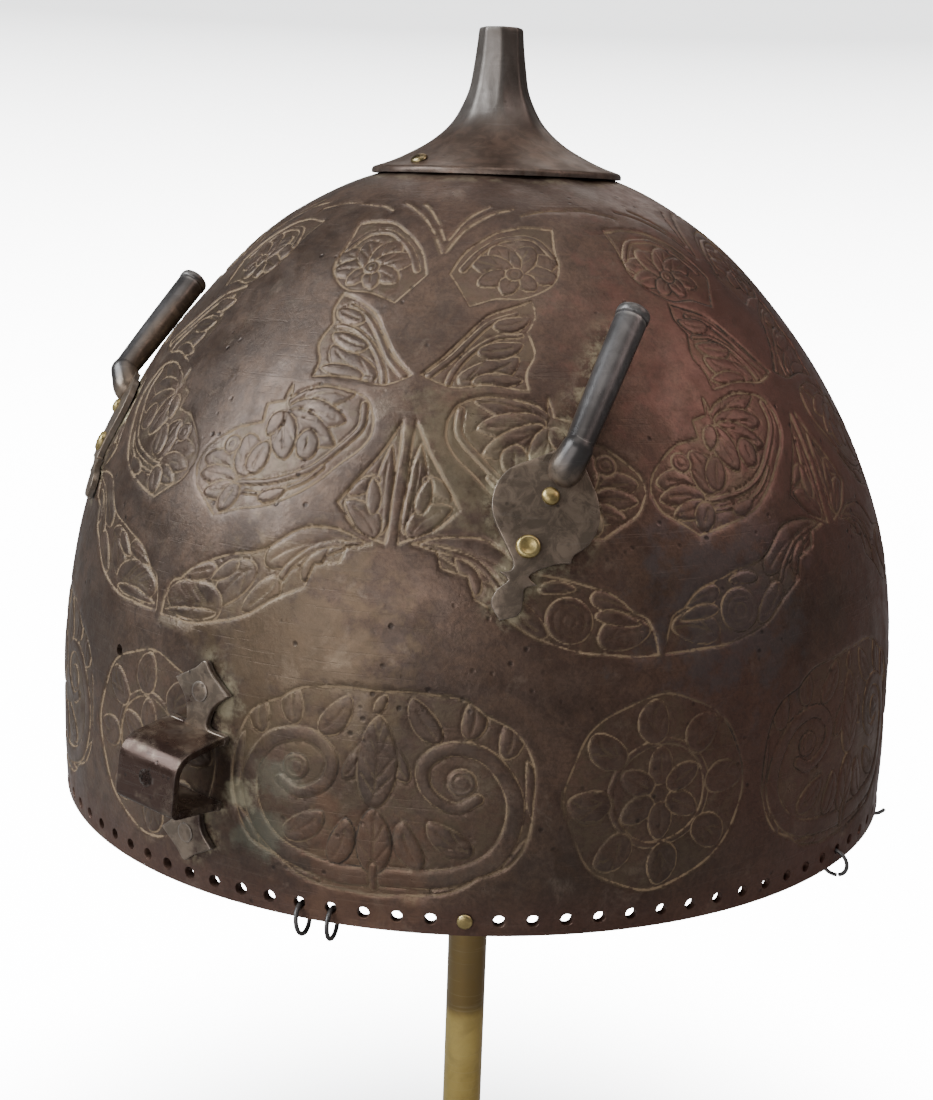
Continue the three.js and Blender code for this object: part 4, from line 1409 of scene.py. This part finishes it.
def bowl_ring(name, low, high, holes=()):
    ring = turned(name, ring_section(low, high), bowl_steps)
    place(ring, vertices(ring) * [cross_scale, length_scale, 1])
    for reach, whole_ground in ((2.2, True), (1.0, True), (0.4, False)):
        refine(ring, reach, whole_ground)
    if holes:
        drill_holes(ring, holes)
    press_relief(ring)
    one_finish(ring, "brown_iron")
    return [owned(smooth(half, 50), "brown_iron", "bowl") for half in halves(ring)]


rim_s = s_at_height(hole_height)
rim_hole_rows = [(hole_azimuth(k), rim_s, hole_radius) for k in range(hole_count)]
rim_hole_rows.append((spare_azimuth, s_at_height(spare_height), spare_radius))
bowl_ring("bowl_lower_band", ring_borders[0], ring_borders[1], rim_hole_rows)
bowl_ring("bowl_field", ring_borders[1], ring_borders[2])
bowl_ring("bowl_crown", ring_borders[2], ring_borders[3])

# %% [markdown]
# ## The finial
#
# The finial was raised from one disc and drawn up into a stem that once held a spike. The smith
# closed the stem over a mandrel with flat blows, so its upper part has eight faces that die away
# towards the flange. It is hollow and open at the top. Three rivets held the flange; one of them
# is lost, and its hole shows.

# %% Finial sizes
finial_seat = 140.1  # above the rim
finial_wall = 1.3
flange_lift = 0.45  # the thin dark gap all round under the flange
finial_outline = [
    (28.85, 0.75), (28.5, 1.3), (27.2, 1.75), (25, 2.5), (21.5, 4), (16.4, 6.7), (12.7, 9.4), (10.2, 12),
    (8.4, 15), (6.75, 19), (5.85, 24), (5.3, 28.5), (4.95, 32.1), (4.7, 32.5),
]
face_turn = 32.5 + 3  # one edge between two faces points at this azimuth
finial_rivet_radius = 24.3

# %% Helpers: finishing a piece


def mark_edges(piece, least=12, most=60):
    """Marks the vertices on raised edges, 0 for a bend of the least degrees to 1 for the most."""
    mesh = piece.data
    bends = np.zeros(len(mesh.vertices))
    normals = np.array([face.normal[:] for face in mesh.polygons])
    centres = face_centres(piece)
    faces_at = {}
    for face in mesh.polygons:
        for key in face.edge_keys:
            faces_at.setdefault(key, []).append(face.index)
    for (a, b), pair in faces_at.items():
        if len(pair) != 2:
            continue
        f, g = pair
        bend = math.degrees(math.acos(max(-1, min(1, normals[f] @ normals[g]))))
        raised = (centres[g] - centres[f]) @ normals[f] < 0
        if raised and bend > least:
            amount = min(1, (bend - least) / (most - least))
            bends[a] = max(bends[a], amount)
            bends[b] = max(bends[b], amount)
    mark(piece, "edge", bends)


def finished(piece, slot, node, degrees=35):
    """Shades the piece, marks its edges for wear and a painted highlight, gives it its metal and hands it
    over.
    """
    smooth(piece, degrees)
    mark_edges(piece)
    one_finish(piece, slot)
    return owned(piece, slot, node)


def rim_up(points):
    return [(radius * MM, rim_z + height * MM) for radius, height in points]


def dome_height_at(radius):
    return np.interp(s_at_radius(radius), meridian_s, meridian_z)


# %% Finial: turn the sheet
outer = smooth_line(finial_outline, 1.1)
heading = np.gradient(outer, axis=0)
heading /= np.linalg.norm(heading, axis=1, keepdims=True)
inward = np.stack([-heading[:, 1], heading[:, 0]], -1)
inner = outer + finial_wall * inward
inner = inner[(inner[:, 0] < 27.3) & (outer[:, 1] < 31.6)]
inner[:, 0] = np.maximum(inner[:, 0], 3.2)
under = [(r, dome_height_at(r) + flange_lift) for r in (27.2, 28.5)]
lip = (flange_radius - 0.1, dome_height_at(flange_radius) + flange_lift)
section = [lip, *[(r, finial_seat + h) for r, h in outer], (3.75, finial_seat + 32.5)]
section += [(r, max(finial_seat + h, dome_height_at(r) + flange_lift)) for r, h in inner[::-1]]
section += under
finial = turned("finial_socket", rim_up(section), 112)

# %% Finial: flatten the stem
points = vertices(finial)
radius = np.hypot(points[:, 0], points[:, 1]) / MM
rise = (points[:, 2] - rim_z) / MM - finial_seat
turn = np.degrees(np.arctan2(points[:, 0], -points[:, 1])) - face_turn
off_middle = (turn % 45) - 22.5
flat = np.minimum(np.cos(np.radians(22.5)) / np.cos(np.radians(off_middle)) * 1.035, 1.012)
share = soft_step((rise - 5) / 13)
beaten = 1 + 0.006 * waves(turn, rise * 3, 21, 8, 20, 60)
points[:, :2] *= (1 + share * (flat - 1))[:, None] * beaten[:, None]
place(finial, points)


def finial_place(azimuth):
    """Frame on the flange's slope, in millimetres above the rim."""
    turn = math.radians(azimuth)
    outward = np.array([math.sin(turn), -math.cos(turn), 0])
    side = np.array([math.cos(turn), math.sin(turn), 0])
    slope = math.atan2(1.5, 3.5)
    normal = outward * math.sin(slope) + np.array([0, 0, math.cos(slope)])
    height = np.interp(-finial_rivet_radius, -outer[:, 0], outer[:, 1])
    origin = outward * finial_rivet_radius + [0, 0, finial_seat + height]
    return origin, side, np.cross(normal, side), normal


shank = 0.9


def drill(piece, frame_row, low=-2, high=4, play=0.1):
    """Drills through for a rivet, from low to high, wider than its shank by play."""
    profile = [(0, low), (shank + play, low), (shank + play, high), (0, high)]
    return cut(piece, moved_to(lathe("drill", profile, 24), frame_row))


finial_rivets = {"front": -11.5, "rear": 228.5, "lost": 108.5}
for azimuth in finial_rivets.values():
    drill(finial, finial_place(azimuth), -3.4, 3, 0.12)
rise = (vertices(finial)[:, 2] - rim_z) / MM - finial_seat
mark(finial, "raised", soft_step((rise - 7) / 9))
finished(finial, "worn_steel", "finial", 40)

# %% [markdown]
# ## Rivets
#
# Every rivet is turned as one solid: a peened tail inside the bowl, a shank, and a head that was
# snapped over a washer or hammered flush. A few hammer marks keep the heads from looking machined.

# %% Rivets


def rivet_piece(place_name, end_name, frame_row, head, slot, seed, tail_level=-2.7):
    """A rivet at a frame, for the fitting and the end of it that its two names tell."""
    tail = [(0, -0.75), (0.8, -0.68), (1.3, -0.42), (1.55, -0.05), (1.5, 0), (shank, 0)]
    rows = [(radius, tail_level + height) for radius, height in tail] + [(shank, head[0][1]), *head]
    piece = lathe(f"rivet_{place_name}_{end_name}", rows, 40)
    points = vertices(piece)
    draw = np.random.default_rng(seed)
    level = points[:, 2] / MM
    over = np.clip((level - head[0][1]) / max(head[-1][1] - head[0][1], 0.1), 0, 1)
    for _ in range(5):
        spot = draw.uniform(-1.2, 1.2, 2) * MM
        from_spot = ((points[:, :2] - spot) ** 2).sum(axis=1) / (0.6 * MM) ** 2
        points[:, 2] -= draw.uniform(0.03, 0.08) * np.exp(-from_spot) * over * MM
    points[:, :2] *= 1 + 0.03 * np.sin(2 * np.arctan2(points[:, 1], points[:, 0]) + seed)[:, None]
    place(piece, points)
    first, *side_of = place_name.split("_")
    node = "_".join([first, "rivet", *side_of, end_name])
    return finished(moved_to(piece, frame_row), slot, node, 50)


plate_face = 1.42  # off the metal


def on_plate(rows):
    """A head's profile lifted to the plate's face."""
    return [(radius, plate_face + height) for radius, height in rows]


dome_head = on_plate([(1.7, 0), (1.68, 0.25), (1.4, 0.62), (0.9, 0.9), (0.4, 1.0), (0, 1.02)])
sunk_head = on_plate([
    (2.25, 0), (2.22, 0.4), (2.0, 0.78), (1.65, 0.92), (1.3, 0.86), (0.8, 0.6), (0, 0.55),
])
flush_head = on_plate([(2.0, 0), (1.95, 0.16), (1.5, 0.3), (0.8, 0.37), (0, 0.38)])
flange_head = [(2.0, 0.12), (1.98, 0.35), (1.7, 0.72), (1.15, 1.02), (0.5, 1.14), (0, 1.16)]
plume_rivets = {"upper": (0, 0, dome_head, 3), "lower": (1, -10.2, sunk_head, 7)}
nasal_rivets = {"upper": 14.3, "lower": -14.9}

for side_name, anchor in plume_anchors.items():
    for end_name, (across_mm, along_mm, head, seed) in plume_rivets.items():
        spot = anchored(anchor, across_mm, along_mm)
        rivet_piece(f"plume_{side_name}", end_name, spot, head, "rivet_brass", seed + anchor["mirror"])
for end_name in ("front", "rear"):
    azimuth = finial_rivets[end_name]
    spot = finial_place(azimuth)
    rivet_piece("finial", end_name, spot, flange_head, "rivet_brass", int(azimuth) % 7, -5.6)
for end_name, along_mm in nasal_rivets.items():
    spot = anchored(nasal_anchor, 0, along_mm)
    rivet_piece("nasal", end_name, spot, flush_head, "dark_iron", 11)


# %% [markdown]
# ## Plates hammered to the dome
#
# The plume holders' plates and the lugs of the nasal's bridge were filed to their outline flat and
# then hammered to the bowl. They are made here in the same order: a flat outline is filled, raised
# to its thickness and its upper edge is filed round; then it is cut through by a grid of planes, so
# that it has enough vertices to bend, and laid on the dome.

# %% Plates


def thickened(piece, offset):
    """Fills a ring of edges and draws its face out by offset, and stays in edit mode."""
    edit(piece, "EDGE", everything=True)
    bpy.ops.mesh.edge_face_add()
    bpy.ops.mesh.extrude_region_move(TRANSFORM_OT_translate={"value": offset})
    bpy.ops.mesh.select_all(action="SELECT")
    bpy.ops.mesh.normals_make_consistent(inside=False)


def round_off(piece, faces, radius):
    """Files the border of the flagged faces round, and stays in edit mode."""
    edit_faces(piece, faces)
    bpy.ops.mesh.region_to_loop()
    bpy.ops.mesh.bevel(offset=radius * MM, segments=3, profile=0.5, clamp_overlap=True)


def slice_across(axis, level):
    """Cuts the piece in hand through by a plane across an axis, at a level in millimetres."""
    spot, normal = [0, 0, 0], [0, 0, 0]
    spot[axis], normal[axis] = level * MM, 1
    bpy.ops.mesh.select_all(action="SELECT")
    bpy.ops.mesh.bisect(plane_co=spot, plane_no=normal)


def flat_plate(name, outline, edge_round, grid=1.5):
    piece = outline_piece(name, [(x * MM, y * MM, 0) for x, y in outline])
    thickened(piece, (0, 0, plate_thickness * MM))
    done()
    round_off(piece, face_centres(piece)[:, 2] > 0.98 * plate_thickness * MM, edge_round)
    low, high = np.min(outline, axis=0), np.max(outline, axis=0)
    for axis in (0, 1):
        for level in np.arange(low[axis] + grid / 2, high[axis], grid):
            slice_across(axis, level)
    done()
    return tidy(piece)


def lay_on_dome(piece, anchor):
    """Bends a flat piece to the dome: its x runs across, its y along and its z off the metal."""
    x, y, z = (vertices(piece) / MM).T
    origin, _, _, _ = walk(anchor, x, y, z + 0.12)
    place(piece, origin * MM + [0, 0, rim_z])
    if anchor.get("mirror", 1) < 0:
        edit(piece, everything=True)
        bpy.ops.mesh.flip_normals()
        done()
    return piece


# %% [markdown]
# ## The plume holders
#
# Each holder is a leaf-shaped plate that narrows to a spade-shaped tip with two spurs. A neck
# rises out of it and turns into a long tube for the plume, a little wider at its mouth, where a
# band is filed bright above a dark groove. Two brass rivets hold the plate.

# %% Plume holder sizes
plate_thickness = 1.3
# The ends of the neck and of the tube above it: millimetres across, along and off the metal.
holder_heel, holder_foot, holder_top = (0, 5.9, 1.2), (0, 9.5, 3.9), (-0.5, 40.6, 5.6)


def between(piece, start, end):
    """Sets a piece modelled upwards from 0 along the line from start to end, in millimetres."""
    axis = Vector(end - start).normalized()
    turn = np.array(axis.to_track_quat("Z", "Y").to_matrix())
    place(piece, vertices(piece) @ turn.T + start * MM + [0, 0, rim_z])
    return piece


def mark_raised(piece, low, high):
    """Marks how far each vertex stands off the bowl, 0 at low and 1 at high millimetres."""
    _, _, lift = off_dome(vertices(piece))
    mark(piece, "raised", soft_step((lift - low) / (high - low)))


def plume_holder(side_name, anchor):
    plate = lay_on_dome(flat_plate("plate", smooth_line(plume_outline, 0.9)[:-1], 0.45), anchor)
    heel, foot, top = (walk(anchor, *spot)[0] for spot in (holder_heel, holder_foot, holder_top))
    length = float(np.linalg.norm(top - foot))
    collar = length - 2.1
    rows = [
        (0, 0), (2.75, 0), (2.72, 1.2), (2.86, 6), (3.0, 12), (3.12, 20), (3.22, collar - 1.0),
        (3.2, collar - 0.25), (3.02, collar - 0.08), (3.02, collar + 0.18), (3.24, collar + 0.35),
        (3.36, collar + 0.55), (3.38, length - 0.6), (3.26, length - 0.2), (3.02, length),
        (2.4, length), (2.2, length - 0.25), (2.16, length - 26), (0, length - 26),
    ]
    tube = between(lathe("tube", rows, 64), foot, top)
    rise = float(np.linalg.norm(foot - heel))
    waist = [
        (0, -3.6), (1.6, -3.2), (2.7, -2.2), (3.25, -0.8), (3.35, 0.6), (3.2, rise * 0.5), (3.0, rise),
        (2.85, rise + 0.8), (2.45, rise + 1.6), (1.7, rise + 2.4), (0, rise + 2.95),
    ]
    waist = [*smooth_line(waist[:-1], 0.5), waist[-1]]
    neck = between(lathe("neck", waist, 64), heel, foot)
    cut(neck, dome_form(0.3, 40, 130))
    cut(plate, neck, "UNION")
    cut(plate, tube, "UNION")
    for across_mm, along_mm, *_ in plume_rivets.values():
        drill(plate, anchored(anchor, across_mm, along_mm))
    plate.name = f"plume_tube_{side_name}"
    mark_raised(plate, 2.2, 6)
    return finished(plate, "dark_iron", f"plume_holder_{side_name}", 38)


def dome_form(offset, low, high):
    """A solid with the bowl's outer form between two walked lengths, grown by offset."""
    rows = [wall_point(s, -offset) for s in np.linspace(low, high, 60)]
    form = turned("form", [(0, rows[0][1]), *rows, (0, rows[-1][1])], 240)
    place(form, vertices(form) * [cross_scale, length_scale, 1])
    return form


for side_name, anchor in plume_anchors.items():
    plume_holder(side_name, anchor)


# %% [markdown]
# ## The nasal's bridge
#
# The nasal slid behind this strap and a screw through its face held it at a height. The strap was
# bent from a bar over a former: its top bend is easy and its bottom bend tight. Fish-tailed lugs
# above and below carry the two rivets. The screw's hole still has its thread.

# %% Bridge sizes
strap_width, strap_off, strap_wall = 14.5, 13.7, 1.5


def bend(centre_off, centre_up, radius, angles):
    """Points (off, up) round a bend of the strap."""
    turns = [math.radians(angle) for angle in angles]
    return [(centre_off + radius * math.cos(a), centre_up + radius * math.sin(a)) for a in turns]


def strap_side(inset):
    """The strap's line from its top foot round both bends to its bottom foot, (off, up)."""
    tight = inset * 0.8
    rest = inset - tight
    rows = [(-0.6, 7.2 - inset), (3.5, 7.15 - inset)]
    rows += bend(strap_off - 4.6, 1.8, 4.6 - inset, np.linspace(90, 0, 13))
    rows += bend(strap_off - rest - 2.2, -4.4 + rest, 2.2 - tight, np.linspace(0, -90, 11))
    return rows + [(5, -7.3 + inset), (-0.6, -8 + inset)]


# %% Bridge: bend the strap


def make_bridge():
    section = strap_side(0) + strap_side(strap_wall)[::-1]
    strap = outline_piece("strap", [(strap_width / 2 * MM, up * MM, off * MM) for off, up in section])
    thickened(strap, (-strap_width * MM, 0, 0))
    for level in np.arange(-6, 6.1, 0.75):
        for axis in (0, 1):
            slice_across(axis, level)
    done()
    at_sides = np.abs(np.abs(face_centres(strap)[:, 0]) - strap_width / 2 * MM) < 1e-6
    round_off(strap, at_sides, 0.4)
    done()
    tidy(strap)
    thread = [(0, strap_off - 3)]
    for turn_index in range(7):
        level = strap_off - 2.4 + turn_index * 0.45
        thread += [(1.52, level), (1.78, level + 0.22)]
    thread += [(1.62, strap_off - 0.05), (2.1, strap_off + 0.4), (0, strap_off + 0.4)]
    cut(strap, lathe("tap", thread, 40))
    moved_to(strap, anchored_leaning(nasal_anchor))
    cut(strap, dome_form(0.2, 0, 60))
    for name, half in (("lug_top", lug_top), ("lug_bottom", lug_bottom)):
        mirrored = [(-x, y) for x, y in half[::-1]]
        outline = smooth_line(half + mirrored[1:], 0.8)
        cut(strap, lay_on_dome(flat_plate(name, outline, 0.35), nasal_anchor), "UNION")
    for along_mm in nasal_rivets.values():
        drill(strap, anchored(nasal_anchor, 0, along_mm))
    strap.name = "nasal_bridge"
    return finished(strap, "dark_iron", "nasal_bracket")


def anchored_leaning(anchor):
    """The anchor's own frame with its lean, as the drawing of the strap needs it."""
    origin, side, up, normal = dome_place(anchor["azimuth"], s_at_height(anchor["height"]))
    lean = math.radians(anchor["lean"])
    side, up = side * math.cos(lean) - up * math.sin(lean), up * math.cos(lean) + side * math.sin(lean)
    return origin, side, up, normal


make_bridge()

# %% [markdown]
# ## Rings of the lost mail, and a plug
#
# The mail curtain hung from the holes along the rim. Three whole rings and a broken one are left,
# of drawn wire with butted ends. One hole was plugged with brass.

# %% Mail rings
ring_radius, wire_radius = 2.95, 0.45
rim_hole_places = {4: "mail_ring_1", 5: "mail_ring_2", 23: "mail_ring_3", 29: "mail_stub"}
for hole, node in rim_hole_places.items():
    start, end = (-30, 150) if node == "mail_stub" else (-78, 270)
    turn = np.linspace(0, 2 * math.pi, 14, endpoint=False)
    wire = ring_radius + wire_radius * np.cos(turn), wire_radius * np.sin(turn), 0 * turn
    ring = outline_piece(f"wire_{node}", np.stack(wire, -1) * MM)
    edit(ring, "EDGE", everything=True)
    bpy.ops.mesh.edge_face_add()
    arc = math.radians(end - start)
    bpy.ops.mesh.spin(steps=max(24, int((end - start) / 6)), angle=arc, center=(0, 0, 0), axis=(0, -1, 0))
    done()
    tidy(ring)
    origin, side, _, _ = dome_place(hole_azimuth(hole), rim_s)
    outward = np.array([side[1], -side[0], 0])
    lean = math.radians(chaser_hand.uniform(-9, 9))
    lift = np.array([0, 0, 1.0])
    points = vertices(ring)
    turn = math.radians(start)
    x = points[:, 0] * math.cos(turn) - points[:, 2] * math.sin(turn)
    z = points[:, 2] * math.cos(turn) + points[:, 0] * math.sin(turn)
    z0 = ring_radius * MM
    y = points[:, 1] + (z - z0) * math.sin(lean)
    middle = origin - outward * wall / 2
    middle[2] = 2.7 - ring_radius
    hung = x[:, None] * outward + y[:, None] * side + z[:, None] * lift
    place(ring, hung + middle * MM + [0, 0, rim_z])
    finished(tidy(ring), "ring_iron", node, 45)


# %% Rim plug
plugged_hole = 9
plug_rows = [
    (0, -3.0), (0.7, -2.85), (1.0, -2.6), (0.95, -2.5), (0.95, 0.12), (1.5, 0.12), (1.42, 0.4),
    (1.0, 0.62), (0, 0.7),
]
plug = moved_to(lathe("plug", plug_rows, 28), dome_place(hole_azimuth(plugged_hole), rim_s))
finished(plug, "rivet_brass", "rim_plug", 50)

# %% [markdown]
# ## The stand
#
# The photo ends above the table, so only the brass post is known. The base is a plain turned disc
# with a boss, painted black, and a shaped pad bears the crown from inside.

# %% Stand
base_rows = [
    (0, 0), (71.4, 0), (72, 0.5), (72, 7.4), (71.6, 8.6), (70.8, 9.5), (69.4, 10), (14.5, 10),
    (12.6, 10.4), (11.3, 11.5), (10.6, 13), (9.4, 16.4), (8.9, 17), (5.5, 17), (5.3, 16.7),
    (5.3, 9), (0, 9),
]
base = lathe("stand_disc", base_rows, 120)
broken_edge = {"width": 0.25 * MM, "segments": 2, "limit_method": "ANGLE"}
finish_with(base, "BEVEL", **broken_edge, angle_limit=math.radians(35))
finished(base, "stand_black", "stand_base")

rim_level = 167  # above the table
pad_under = dome_height - wall - 5 - 4
post_end = rim_level + pad_under - 0.3
post_rows = [(0, 9.3), (4.8, 9.3), (5, 9.5), (5, post_end - 0.2), (4.8, post_end), (0, post_end)]
finished(lathe("post_rod", post_rows, 72), "post_brass", "stand_post")

pad_over = [(r, dome_height_at(r) - wall - 0.75) for r in np.linspace(20, 0, 14)]
pad_rows = [
    (0, pad_under), (7, pad_under), (16.8, pad_under - 2), (18.2, pad_under - 1.9),
    (19.4, pad_under - 0.9), (20, pad_over[0][1] - 1.6), *pad_over[1:],
]
finished(turned("crown_pad", rim_up(pad_rows), 96), "stand_black", "stand_pad")
